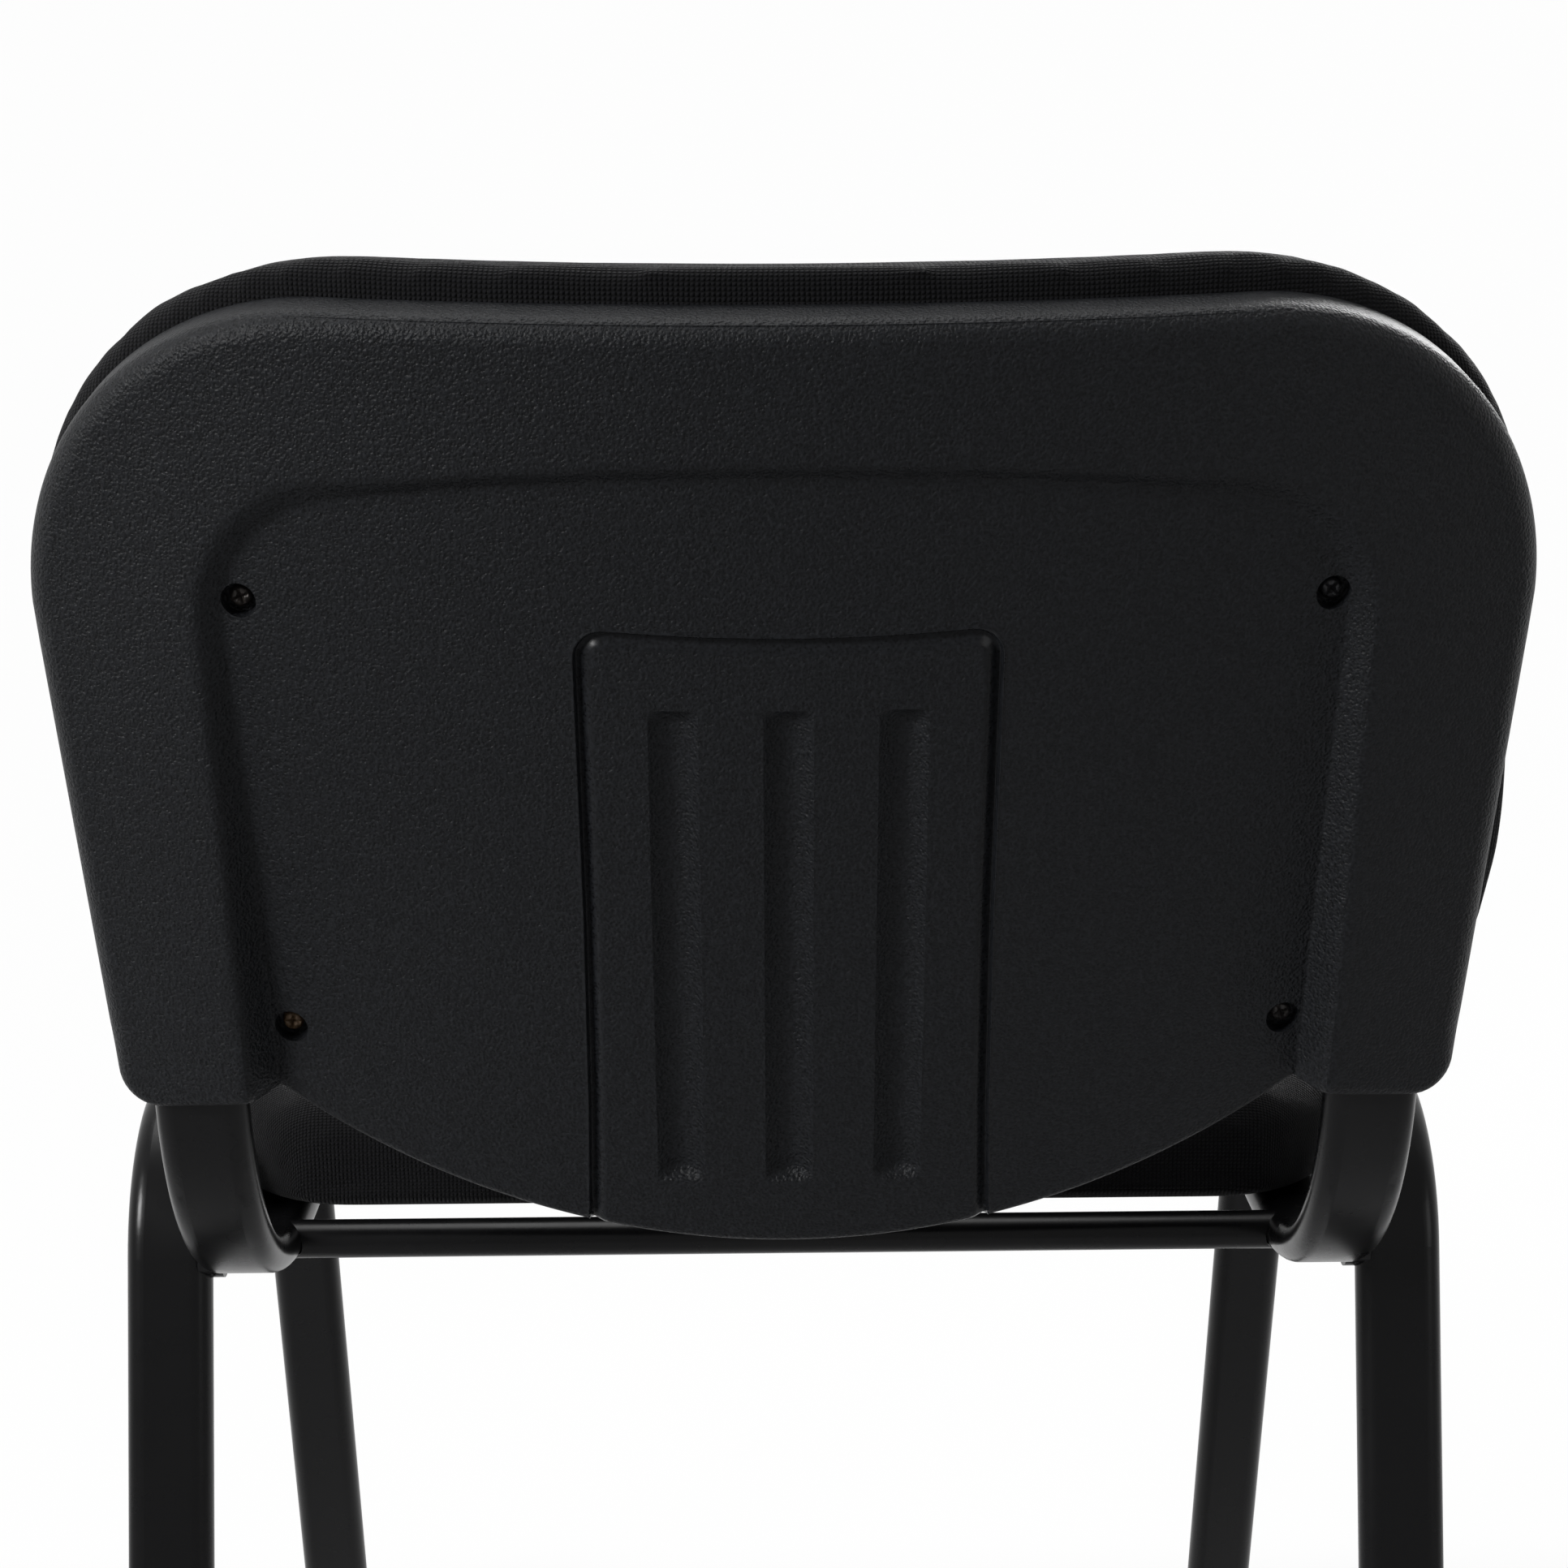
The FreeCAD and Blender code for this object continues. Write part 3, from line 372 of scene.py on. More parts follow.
def recess_line():
    """Foot of the recess wall, from the right foot over the top to the left foot."""
    side = np.array([[186.3, -130.0], [188.0, -20.0], [190.3, 80.0], [192.2, 150.0]])
    corner = arc_points((144.5, 162.0), 48.0, 0.0, 78.0, 22)
    top = np.array([[130.0, 213.0], [100.0, 216.6], [60.0, 219.6], [0.0, 221.0]])
    right = np.vstack([side, corner, top])
    return np.vstack([right, mirrored(right)[1:]])


def groove_line():
    """Outer edge of the groove frame, from the right foot over the sagging top to the left foot."""
    side = np.array([
        [74.6, -130.0], [73.6, -66.0], [72.4, -20.0], [71.8, 60.0], [72.2, 120.0], [72.4, 153.0]])
    corner = arc_points((62.4, 156.6), 10.0, 0.0, 92.0, 16)
    top = np.array([[50.0, 165.9], [30.0, 165.0], [0.0, 164.4]])
    right = np.vstack([side, corner, top])
    return np.vstack([right, mirrored(right)[1:]])


class ShellForm:
    """Depth of the shell's rear face at any point of its outline, in millimetres."""

    def __init__(self, settings):
        self.wrap = settings.wrap_radius / MM
        self.centre = settings.wrap_centre / MM
        self.rim = settings.rim_round / MM
        self.panel = settings.panel_depth / MM
        self.rise = settings.panel_rise
        self.groove = settings.groove_depth / MM
        self.flute = settings.flute_depth / MM
        self.outline = shell_outline()
        self.recess = recess_line()
        self.frame = groove_line()

    def band(self, points):
        """Depth of the raised band, wrapped round the sitter."""
        return self.centre + np.sqrt(self.wrap ** 2 - points[:, 0] ** 2)

    def panel_drop(self, points):
        """Depth of the panel below the band, less towards its top."""
        return self.panel - self.rise * points[:, 1]

    def recess_side(self, points):
        """Signed distance to the foot of the recess wall, positive in the panel."""
        distance, side = distance_to_line(points, self.recess)
        return distance * side

    def groove_side(self, points):
        """Signed distance to the groove frame's outer edge, positive inside it."""
        distance, side = distance_to_line(points, self.frame)
        return distance * side

    def flat(self, points):
        """Depth without the rounded rim."""
        drop = self.panel_drop(points)
        out = np.clip(-self.recess_side(points), 0.0, None)
        sideways = smooth_step(np.abs(points[:, 0]), *WALL_SIDES)
        rest = 1.0 - out / (WALL_RUN + WALL_RUN_SIDES * sideways)
        share = 0.5 * (rest + np.sqrt(rest ** 2 + WALL_ROUND)) / WALL_FULL
        depth = self.band(points) - drop * share
        depth += LIP_HEIGHT * np.exp(-(self.recess_side(points) / LIP_WIDTH) ** 2)
        inside = self.groove_side(points)
        bead = BEAD_HEIGHT * np.exp(-((inside - BEAD_PLACE) / BEAD_WIDTH) ** 2)
        wall = smooth_step(inside, *GROOVE_WALL)
        ramp = 1.0 - smooth_step(inside, *GROOVE_SLOPE)
        depth += bead - self.groove * wall * ramp
        for x in FLUTES:
            hollow = np.clip(1.0 - ((points[:, 0] - x) / FLUTE_HALF) ** 2, 0.0, None)
            top = np.clip((FLUTE_TOP - points[:, 1]) / FLUTE_END, 0.0, 1.0)
            foot = np.clip((points[:, 1] - FLUTE_FOOT) / FLUTE_END, 0.0, 1.0)
            depth -= self.flute * hollow * (1.0 - (1.0 - top) ** 2) * (1.0 - (1.0 - foot) ** 2)
        return depth

    def rim_radius(self, points):
        """Radius of the rim's rounding, small along the foot."""
        return RIM_FOOT + (self.rim - RIM_FOOT) * smooth_step(points[:, 1], *RIM_FADE)

    def rear(self, points):
        """Depth of the rear face with its rounded rim."""
        edge, _ = distance_to_line(points, self.outline, True)
        radius = self.rim_radius(points)
        inwards = np.clip(radius - edge, 0.0, radius)
        return self.flat(points) - (radius - np.sqrt(np.maximum(radius ** 2 - inwards ** 2, 0.0)))

    def polish(self, points):
        """1 in the groove, where the mould is polished."""
        inside = self.groove_side(points)
        return smooth_step(inside, *POLISH_START) * (1.0 - smooth_step(inside, *POLISH_END))


def offset_line(line, distance, closed=False):
    """A polyline moved to its left by a distance."""
    before = np.roll(line, 1, axis=0) if closed else np.vstack([line[:1], line[:-1]])
    after = np.roll(line, -1, axis=0) if closed else np.vstack([line[1:], line[-1:]])
    along = after - before
    along /= np.maximum(np.hypot(along[:, 0], along[:, 1]), 1e-9)[:, None]
    return line + distance * np.stack([-along[:, 1], along[:, 0]], axis=1)


def point_tree(points):
    """A search tree of points in plan."""
    tree = kdtree.KDTree(len(points))
    for i, (x, y) in enumerate(points):
        tree.insert((x, y, 0.0), i)
    tree.balance()
    return tree


def shell_points(form, grid):
    """Points and fixed edges of the shell's face: outline, features, screw holes and a plain grid."""
    points, edges = [], []

    def add(line, closed=False, fixed=True):
        first = len(points)
        points.extend(line.tolist())
        if fixed:
            last = len(line) if closed else len(line) - 1
            edges.extend((first + i, first + (i + 1) % len(line)) for i in range(last))

    outline = resample(form.outline, 2.4, True)
    recess = resample(form.recess, 3.0)
    groove = resample(form.frame, 2.0)
    add(outline, True)
    edge, _ = distance_to_line(recess, form.outline, True)
    add(recess[edge * inside_outline(form, recess) > 0.6])
    for x, height in SCREWS:
        for radius in (SCREW_HOLE, SCREW_HOLE + SCREW_LIP, BOSS):
            full = 360.0 * (RING_POINTS - 1) / RING_POINTS
            ring = arc_points((x, height), radius, 0.0, full, RING_POINTS)
            add(ring, True, fixed=radius != SCREW_HOLE + SCREW_LIP)
    # Loose points, each line with the least gap that it keeps to the points before it
    loose = [(offset_line(outline, d, True), 0.42) for d in RIM_STEPS]
    loose += [(offset_line(recess, -d), 0.5) for d in WALL_STEPS]
    loose += [(offset_line(recess, d), 0.3) for d in FOOT_STEPS]
    loose += [(offset_line(groove, d), 0.2) for d in GROOVE_STEPS]
    heights = np.concatenate([
        np.linspace(FLUTE_FOOT, FLUTE_FOOT + FLUTE_END, 7),
        np.arange(FLUTE_FOOT + FLUTE_END + 4.0, FLUTE_TOP - FLUTE_END - 1.0, 4.0),
        np.linspace(FLUTE_TOP - FLUTE_END, FLUTE_TOP, 7),
    ])
    for x in FLUTES:
        across = x + FLUTE_HALF * np.array(FLUTE_STEPS)
        loose.append((np.array([(a, h) for a in across for h in heights]), 0.5))
    low, high = form.outline.min(0), form.outline.max(0)
    plain = [
        (x + (0.5 * grid if i % 2 else 0.0), y)
        for i, y in enumerate(np.arange(low[1], high[1], grid * 0.87))
        for x in np.arange(low[0], high[0], grid)
    ]
    loose.append((np.array(plain), 0.62 * grid))
    for line, gap in loose:
        tree = point_tree(points)
        inside = inside_outline(form, line) > 0
        edge, _ = distance_to_line(line, form.outline, True)
        line = line[inside & (edge > min(0.35, gap))]
        for x, height in SCREWS:
            line = line[np.hypot(line[:, 0] - x, line[:, 1] - height) > SCREW_HOLE + 0.3]
        points.extend(p for p in line.tolist() if tree.find((p[0], p[1], 0.0))[2] > gap)
    return np.array(points), edges


def inside_outline(form, points):
    """1 inside the shell's outline and -1 outside."""
    x, y = points[:, 0], points[:, 1]
    crossings = np.zeros(len(points), int)
    ends = np.roll(form.outline, -1, axis=0)
    for a, b in zip(form.outline, ends):
        spans = (a[1] > y) != (b[1] > y)
        if not spans.any():
            continue
        at = a[0] + (y - a[1]) / (b[1] - a[1] + 1e-12) * (b[0] - a[0])
        crossings += spans & (x < at)
    return np.where(crossings % 2 == 1, 1, -1)


def rim_reach(form, settings, points):
    """How far each outline point's wall reaches in: deep at the sides and top, thin at the foot."""
    across = np.abs(points[:, 0])
    low = points[:, 1] < RIM_LOW
    flat = form.flat(points)
    reach = form.band(points) - settings.rim_depth / MM
    reach = np.where(low & (across > FOOT_SPAN[0]) & (across < FOOT_SPAN[1]), flat - FOOT_WALL, reach)
    return np.where(low & (across <= TONGUE_SPAN), flat - TONGUE_WALL, reach)


def wound(triangles, plan, sign):
    """Triangles turned so that their normals in plan have a sign."""
    corners = plan[triangles]
    turn = np.cross(corners[:, 1] - corners[:, 0], corners[:, 2] - corners[:, 0]) * sign
    triangles[turn < 0] = triangles[turn < 0][:, ::-1]
    return triangles


def boundary_loops(triangles):
    """Boundary loops of a set of triangles, in face order, the longest first."""
    following = {}
    for t in triangles:
        for a, b in ((t[0], t[1]), (t[1], t[2]), (t[2], t[0])):
            following[(a, b)] = True
    chain = {a: b for a, b in following if (b, a) not in following}
    found = []
    while chain:
        start, after = chain.popitem()
        loop = [start]
        while after != start:
            loop.append(after)
            after = chain.pop(after)
        found.append(loop)
    return sorted(found, key=len, reverse=True)


def build_shell(settings, material):
    """Closed mesh of the shell: rear face, rim wall, inner face, counterbores and bosses."""
    form = ShellForm(settings)
    points, edges = shell_points(form, settings.grid / MM)
    flat, _, triangles, _, _, _ = delaunay_2d_cdt([Vector(p) for p in points], edges, [], 0, 1e-7)
    plan = np.array([tuple(p) for p in flat])
    triangles = np.array([t for t in triangles if len(t) == 3])
    middles = plan[triangles].mean(axis=1)
    keep = inside_outline(form, middles) > 0
    hole = np.zeros(len(middles), bool)
    boss = np.zeros(len(middles), bool)
    for x, height in SCREWS:
        away = np.hypot(middles[:, 0] - x, middles[:, 1] - height)
        hole |= away < SCREW_HOLE - 0.02
        boss |= away < BOSS - 0.02
    rear_faces = wound(triangles[keep & ~hole], plan, -1)
    inner_faces = wound(triangles[keep & ~boss], plan, 1)
    shrink = 1.0 - WALL_DRAW / WIDEST_HALF
    inner_plan = plan * shrink
    inner_plan[:, 1] += (1.0 - shrink) * DRAW_HEIGHT
    local = [(*p, d) for p, d in zip(plan, form.rear(plan))]
    count = len(local)
    local += [(*p, d) for p, d in zip(inner_plan, form.flat(plan) - settings.wall / MM)]
    faces = rear_faces.tolist() + (inner_faces + count).tolist()

    def ring(places, depths):
        """Add a loop of points."""
        first = len(local)
        local.extend((*p, d) for p, d in zip(places, depths))
        return list(range(first, len(local)))

    def strip(upper, lower):
        """Quads between two loops."""
        for i in range(len(upper)):
            j = (i + 1) % len(upper)
            faces.append((upper[j], upper[i], lower[i], lower[j]))

    def well(upper, lower, middle, depth):
        """Wall from one loop to another, whose end is closed by a fan."""
        strip(upper, lower)
        local.append((*middle, depth))
        last = len(local) - 1
        faces.extend((last, lower[(i + 1) % len(lower)], lower[i]) for i in range(len(lower)))

    rim, *holes = boundary_loops(rear_faces.tolist())
    reach = rim_reach(form, settings, plan[rim])
    outer_low = ring(plan[rim], reach)
    inner_low = ring(inner_plan[rim], reach)
    strip(rim, outer_low)
    strip(outer_low, inner_low)
    strip(inner_low, [v + count for v in rim])
    for loop in holes:
        centre = plan[loop].mean(axis=0)
        floor = float(form.flat(centre[None, :])[0]) - SCREW_SINK
        well(loop, ring(plan[loop], [floor] * len(loop)), centre, floor)
    for loop in boundary_loops(inner_faces.tolist())[1:]:
        centre = inner_plan[loop].mean(axis=0)
        seat = form.centre + np.sqrt(BOARD_WRAP ** 2 - inner_plan[loop][:, 0] ** 2)
        depth = float(form.centre + math.sqrt(BOARD_WRAP ** 2 - centre[0] ** 2))
        well([v + count for v in loop], ring(inner_plan[loop], seat), centre, depth)
    world = [back_point(settings, x * MM, h * MM, d * MM) for x, h, d in local]
    shell = mesh_object("back_shell_moulding", world, faces, material)
    polish = np.zeros(len(local))
    polish[:count] = form.polish(plan)
    layer = shell.data.attributes.new("polish", "FLOAT", "POINT")
    layer.data.foreach_set("value", polish.astype(np.float32))
    turn_outwards(shell)
    shade_smooth(shell.data, 26.0)
    return shell


# Cushions


def ring_mesh(name, rings):
    """Closed mesh through rings of equal count, capped at both ends."""
    size = len(rings[0])
    points = [p for ring in rings for p in ring]
    faces = []
    for r in range(len(rings) - 1):
        for i in range(size):
            j = (i + 1) % size
            faces.append((r * size + i, r * size + j, (r + 1) * size + j, (r + 1) * size + i))
    for start, ring in ((0, rings[0]), ((len(rings) - 1) * size, rings[-1])):
        points.append(tuple(np.mean(np.array(ring), axis=0)))
        faces += [(start + i, start + (i + 1) % size, len(points) - 1) for i in range(size)]
    made = mesh_object(name, points, faces)
    turn_outwards(made)
    return made


# Back cushion in millimetres, heights above the datum; rows hold shares of a rise and of the thickness
BACK_GAP = 25.0
CUSHION_TOP = 285.5
CUSHION_CORNER = 124.0
CUSHION_WIDEST = 268.5
FOOT_HEIGHT = -33.0
FOOT_HALF = 249.0
FOOT_CORNER = 14.0
SIDE_FOOT = -22.0
SIDE_RISE = 185.0
SIDE_HALF = 253.5
SIDE_SPREAD = 15.0
TONGUE_ROWS = (
    (0.03, 0.40), (0.05, 0.46), (0.10, 0.54), (0.20, 0.63),
    (0.35, 0.71), (0.50, 0.77), (0.68, 0.82), (0.85, 0.86),
)
FOOT_ROWS = ((0.35, 1.1, 0.88), (0.55, 0.72, 0.89), (0.8, 0.45, 0.90), (1.2, 0.22, 0.92), (1.6, 0.1, 0.93))
SIDE_ROWS = tuple((0.14 + 0.07 * i, min(1.0, 0.945 + 0.02 * i)) for i in range(12))
CORNER_ROWS = (
    (0, 1.0), (9, 1.0), (18, 1.0), (26, 0.985), (34, 0.97), (41, 0.948), (48, 0.92), (54, 0.892), (60, 0.86),
    (65, 0.835), (70, 0.805), (74, 0.775), (78, 0.74), (82, 0.69), (85, 0.63), (87.5, 0.55), (89, 0.44),
)
# Sag of the padding low on one side
SAG = 9.0
SAG_HEIGHT = 55.0
SAG_SPREAD = 55.0
# Rings: ease under the cover, least half width, roundings as shares of the thickness, and points
COVER_EASE = 0.8
LEAST_HALF = 20.0
REAR_ROUND = 0.10
FRONT_ROUND = 0.22
SIDE_FULLNESS = 0.6
FACE_POINTS = 60
SIDE_POINTS = 14


def cushion_rows():
    """Height, half width and share of the thickness of the back cushion, from the foot to the top."""
    rows = []
    for share, thick in TONGUE_ROWS:
        rise = TONGUE_RISE * share
        rows.append((TONGUE_FOOT + rise, math.sqrt(2 * TONGUE_RADIUS * rise - rise ** 2), thick))
    for rise, draw_in, thick in FOOT_ROWS:
        rows.append((FOOT_HEIGHT + FOOT_CORNER * rise, FOOT_HALF - FOOT_CORNER * draw_in, thick))
    for share, thick in SIDE_ROWS:
        rows.append((SIDE_FOOT + SIDE_RISE * share, SIDE_HALF + SIDE_SPREAD * share, thick))
    for turn, thick in CORNER_ROWS:
        angle = math.radians(turn)
        half = CUSHION_WIDEST - CUSHION_CORNER + CUSHION_CORNER * math.cos(angle)
        rows.append((CUSHION_TOP - CUSHION_CORNER + CUSHION_CORNER * math.sin(angle), half, thick))
    return rows


def back_rings(settings, shell):
    """Rings of the back cushion: two wrapped faces and two rounded sides."""
    rear = shell.wrap_radius / MM - BACK_GAP
    centre = shell.wrap_centre / MM
    full = settings.thickness / MM
    rings = []
    for height, half, share in cushion_rows():
        half = max(half - COVER_EASE, LEAST_HALF)
        front = rear - full * share + COVER_EASE
        rear_x, front_x = half - full * REAR_ROUND, half - full * FRONT_ROUND
        rear_n = centre + math.sqrt(rear ** 2 - rear_x ** 2)
        front_n = centre + math.sqrt(front ** 2 - front_x ** 2)
        behind = np.linspace(-rear_x, rear_x, FACE_POINTS)
        ahead = np.linspace(front_x, -front_x, FACE_POINTS)
        rim = []
        for t in np.linspace(0.0, 1.0, SIDE_POINTS)[1:-1]:
            bulge = 4.0 * t * (1.0 - t)
            straight = rear_x * (1.0 - t) + front_x * t
            x = straight + (half - straight) * bulge ** SIDE_FULLNESS
            rim.append((x, rear_n * (1.0 - t) + front_n * t))
        ring = [(x, centre + math.sqrt(rear ** 2 - x ** 2)) for x in behind] + rim
        ring += [(x, centre + math.sqrt(front ** 2 - x ** 2)) for x in ahead]
        ring += [(-x, n) for x, n in reversed(rim)]
        sag = 1.0 + SAG / half * math.exp(-((height - SAG_HEIGHT) / SAG_SPREAD) ** 2)
        ring = [(x if x > 0.0 else x * sag, n) for x, n in ring]
        rings.append([back_point(shell, x * MM, height * MM, n * MM) for x, n in ring])
    return rings


# Seat in millimetres: share of the height and inset of each ring, corner radius, and fullness past the solid
SEAT_ROWS = (
    (0.00, 3.5), (0.05, 2.0), (0.13, 0.2), (0.34, -1.0), (0.50, -1.0), (0.62, -0.6), (0.71, 0.8), (0.79, 3.2),
    (0.86, 7.5), (0.92, 15.0), (0.96, 29.0), (0.985, 56.0), (1.00, 120.0),
)
SEAT_CORNER = 50.0
SEAT_FULLER = 10.0
SEAT_FULL_BY = 1.0 / 7.0
SEAT_LIFT = 0.2
SEAT_EASE = 2.0
SEAT_POINTS = 200

# Depth in metres that the cloth is held at, skew of the weave through the cushion, its blend at corners
BACK_HELD = 0.006
SEAT_HELD = 0.007
WEAVE_SKEW = 0.02
WEAVE_CORNER = 0.12


def seat_rings():
    """Rings of the seat from its underside to its crown, straight-sided with rounded corners."""
    low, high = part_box("seat_cover")
    half = (high.x - low.x) / 2 / MM
    middle_y = (low.y + high.y) / 2 / MM
    deep = (high.y - low.y) / 2 / MM
    tall = (high.z - low.z) / MM
    rings = []
    for share, inset in SEAT_ROWS:
        a, b = half - inset + SEAT_FULLER * min(1.0, share / SEAT_FULL_BY), deep - inset
        corner = SEAT_CORNER * a / half
        ring = []
        for angle in np.linspace(0.0, 2.0 * math.pi, SEAT_POINTS, endpoint=False):
            c, s = math.cos(angle), math.sin(angle)
            reach = min(a / max(abs(c), 1e-9), b / max(abs(s), 1e-9))
            x, y = reach * c, reach * s
            over_x, over_y = abs(x) - (a - corner), abs(y) - (b - corner)
            if over_x > 0 and over_y > 0:
                over = math.hypot(over_x, over_y)
                if over > corner:
                    x = math.copysign(a - corner + over_x * corner / over, x)
                    y = math.copysign(b - corner + over_y * corner / over, y)
            ring.append((x * MM, (middle_y + y) * MM, low.z + (SEAT_LIFT + share * (tall - SEAT_EASE)) * MM))
        rings.append(ring)
    return rings


def fill_by_cloth(piece, settings, rest, pinned):
    """Points of a cushion after cloth pressure has filled it, none moved further than the swell."""
    group = piece.vertex_groups.new(name="held")
    group.add(np.nonzero(pinned)[0].tolist(), 1.0, "REPLACE")
    cloth = piece.modifiers.new("Cloth", "CLOTH")
    cloth.settings.use_pressure = True
    cloth.settings.uniform_pressure_force = settings.pressure
    cloth.settings.effector_weights.gravity = 0.0
    cloth.settings.vertex_group_mass = group.name
    cloth.settings.quality = 5
    cloth.point_cache.frame_start = 1
    cloth.point_cache.frame_end = settings.frames
    scene = bpy.context.scene
    for step in range(1, settings.frames + 1):
        scene.frame_set(step)
    done = piece.evaluated_get(bpy.context.evaluated_depsgraph_get())
    shift = vertex_array(done.data) - rest
    piece.modifiers.remove(cloth)
    piece.vertex_groups.clear()
    scene.frame_set(1)
    size = np.linalg.norm(shift, axis=1, keepdims=True)
    return rest + shift * np.minimum(1.0, settings.swell / np.maximum(size, 1e-9))


def stuff(piece, settings, held):
    """Remesh a cushion, fill it by cloth pressure with its fixed side pinned, and smooth it."""
    bpy.context.view_layer.objects.active = piece
    apply_modifier(piece, "REMESH", mode="VOXEL", voxel_size=settings.voxel)
    rest = vertex_array(piece.data)
    filled = fill_by_cloth(piece, settings, rest, held(rest))
    piece.data.vertices.foreach_set("co", filled.astype(np.float32).ravel())
    apply_modifier(piece, "SMOOTH", factor=0.5, iterations=3)
    apply_modifier(piece, "SUBSURF", levels=1, render_levels=1)
    shade_smooth(piece.data)


def lay_weave(piece, place):
    """UV map in metres along the cloth, from a function of the points."""
    flat = place(vertex_array(piece.data))
    layer = piece.data.uv_layers.new(name="weave")
    index = np.empty(len(piece.data.loops), np.int32)
    piece.data.loops.foreach_get("vertex_index", index)
    layer.data.foreach_set("uv", flat[index].astype(np.float32).ravel())


# Materials

# Width of one feature of each pattern in millimetres, as a metre shared by their count
SHEEN = 1000.0 / 9
PEEL = 1000.0 / 520
DUST = 1000.0 / 60
YARN_BEND = 1000.0 / 90
YARN_FUZZ = 1000.0 / 2600
SCUFF = 1000.0 / 240
SCREW_MOTTLE = 1000.0 / 900
ZINC_MOTTLE = 1000.0 / 700
FIGURE_LENGTH = 1000.0 / 12
FIGURE_WIDTH = 1000.0 / 90
# Far coarser than a real fibre, which is too fine to show
FIBRE = 1000.0 / 650
# Height of each relief and reach of the yarn's bends, in metres
YARN_SWAY = 0.0008
GRAIN_RELIEF = 0.0005
PEEL_RELIEF = 0.0002
WEAVE_RELIEF = 0.0006
SCUFF_RELIEF = 0.0003
FIGURE_RELIEF = 0.0004
FIBRE_RELIEF = 0.0003
# Background: floor's fade to it towards -Y and all round, its level in front and behind, light of the air
FADE_BEHIND = (-0.05, -0.40)
FADE_AWAY = (0.9, 2.4)
FADE_MOST = 0.98
LEVEL_FRONT = 1.0
LEVEL_REAR = 0.45
AIR_LEVEL = 0.07


def scale_of(width):
    """Texture scale of a pattern whose features have a width in millimetres."""
    return 1.0 / (width * MM)


def shaded(colour, share):
    """A linear colour made darker or lighter."""
    return tuple(c * share for c in colour[:3]) + (1.0,)


def grained_polypropylene(finish):
    """Injection-moulded polypropylene with a leather grain: satin pebbles, polished in the groove."""
    material, tree, shader = new_material("grained_polypropylene")
    place = node(tree, "ShaderNodeTexCoord").outputs["Object"]
    pebble = node(tree, "ShaderNodeTexVoronoi", {
        "Vector": place, "Scale": 1.0 / finish.grain, "Randomness": 1.0}, feature="SMOOTH_F1")
    fine = node(tree, "ShaderNodeTexNoise", {
        "Vector": place, "Scale": 1.1 / finish.grain, "Detail": 2.0, "Roughness": 0.55})
    height = node(tree, "ShaderNodeMath", {0: pebble, 1: fine}, operation="ADD")
    broad = node(tree, "ShaderNodeTexNoise", {"Vector": place, "Scale": scale_of(SHEEN), "Detail": 2.0})
    satin = node(tree, "ShaderNodeMapRange", {"Value": broad, "To Min": 0.40, "To Max": 0.50})
    polish = node(tree, "ShaderNodeAttribute", attribute_name="polish").outputs["Fac"]
    rough = node(tree, "ShaderNodeMix", {"Factor": polish, "A": satin, "B": 0.26}, data_type="FLOAT")
    matt = node(tree, "ShaderNodeMath", {0: 1.0, 1: polish}, operation="SUBTRACT")
    strength = node(tree, "ShaderNodeMath", {0: matt, 1: 0.95}, operation="MULTIPLY")
    bump = node(tree, "ShaderNodeBump", {"Strength": strength, "Distance": GRAIN_RELIEF, "Height": height})
    base = linear(finish.shell)
    # Base colour darker where the grain's relief is low and lighter where it is high: painted shade in the
    # hollows of the grain and painted light on its raised parts
    raised = node(tree, "ShaderNodeMapRange", {"Value": height, "From Min": 0.55, "From Max": 1.25})
    tint = node(tree, "ShaderNodeMix", {
        "Factor": raised, "A": shaded(base, 0.45), "B": shaded(base, 1.9)}, data_type="RGBA")
    feed(shader, {
        "Base Color": tint, "Roughness": rough, "Normal": bump, "IOR": 1.49, "Specular IOR Level": 0.14})
    return material


def powder_coat(finish):
    """Gloss black powder coat on steel: deep black with soft highlights over a faint orange peel."""
    material, tree, shader = new_material("black_powder_coat")
    place = node(tree, "ShaderNodeTexCoord").outputs["Object"]
    peel = node(tree, "ShaderNodeTexNoise", {"Vector": place, "Scale": scale_of(PEEL), "Detail": 2.0})
    dust = node(tree, "ShaderNodeTexNoise", {"Vector": place, "Scale": scale_of(DUST), "Detail": 4.0})
    bump = node(tree, "ShaderNodeBump", {"Strength": 0.10, "Distance": PEEL_RELIEF, "Height": peel})
    rough = node(tree, "ShaderNodeMapRange", {"Value": dust, "To Min": 0.22, "To Max": 0.34})
    feed(shader, {
        "Base Color": linear(finish.tube), "Roughness": rough, "Normal": bump, "Specular IOR Level": 0.2})
    return material


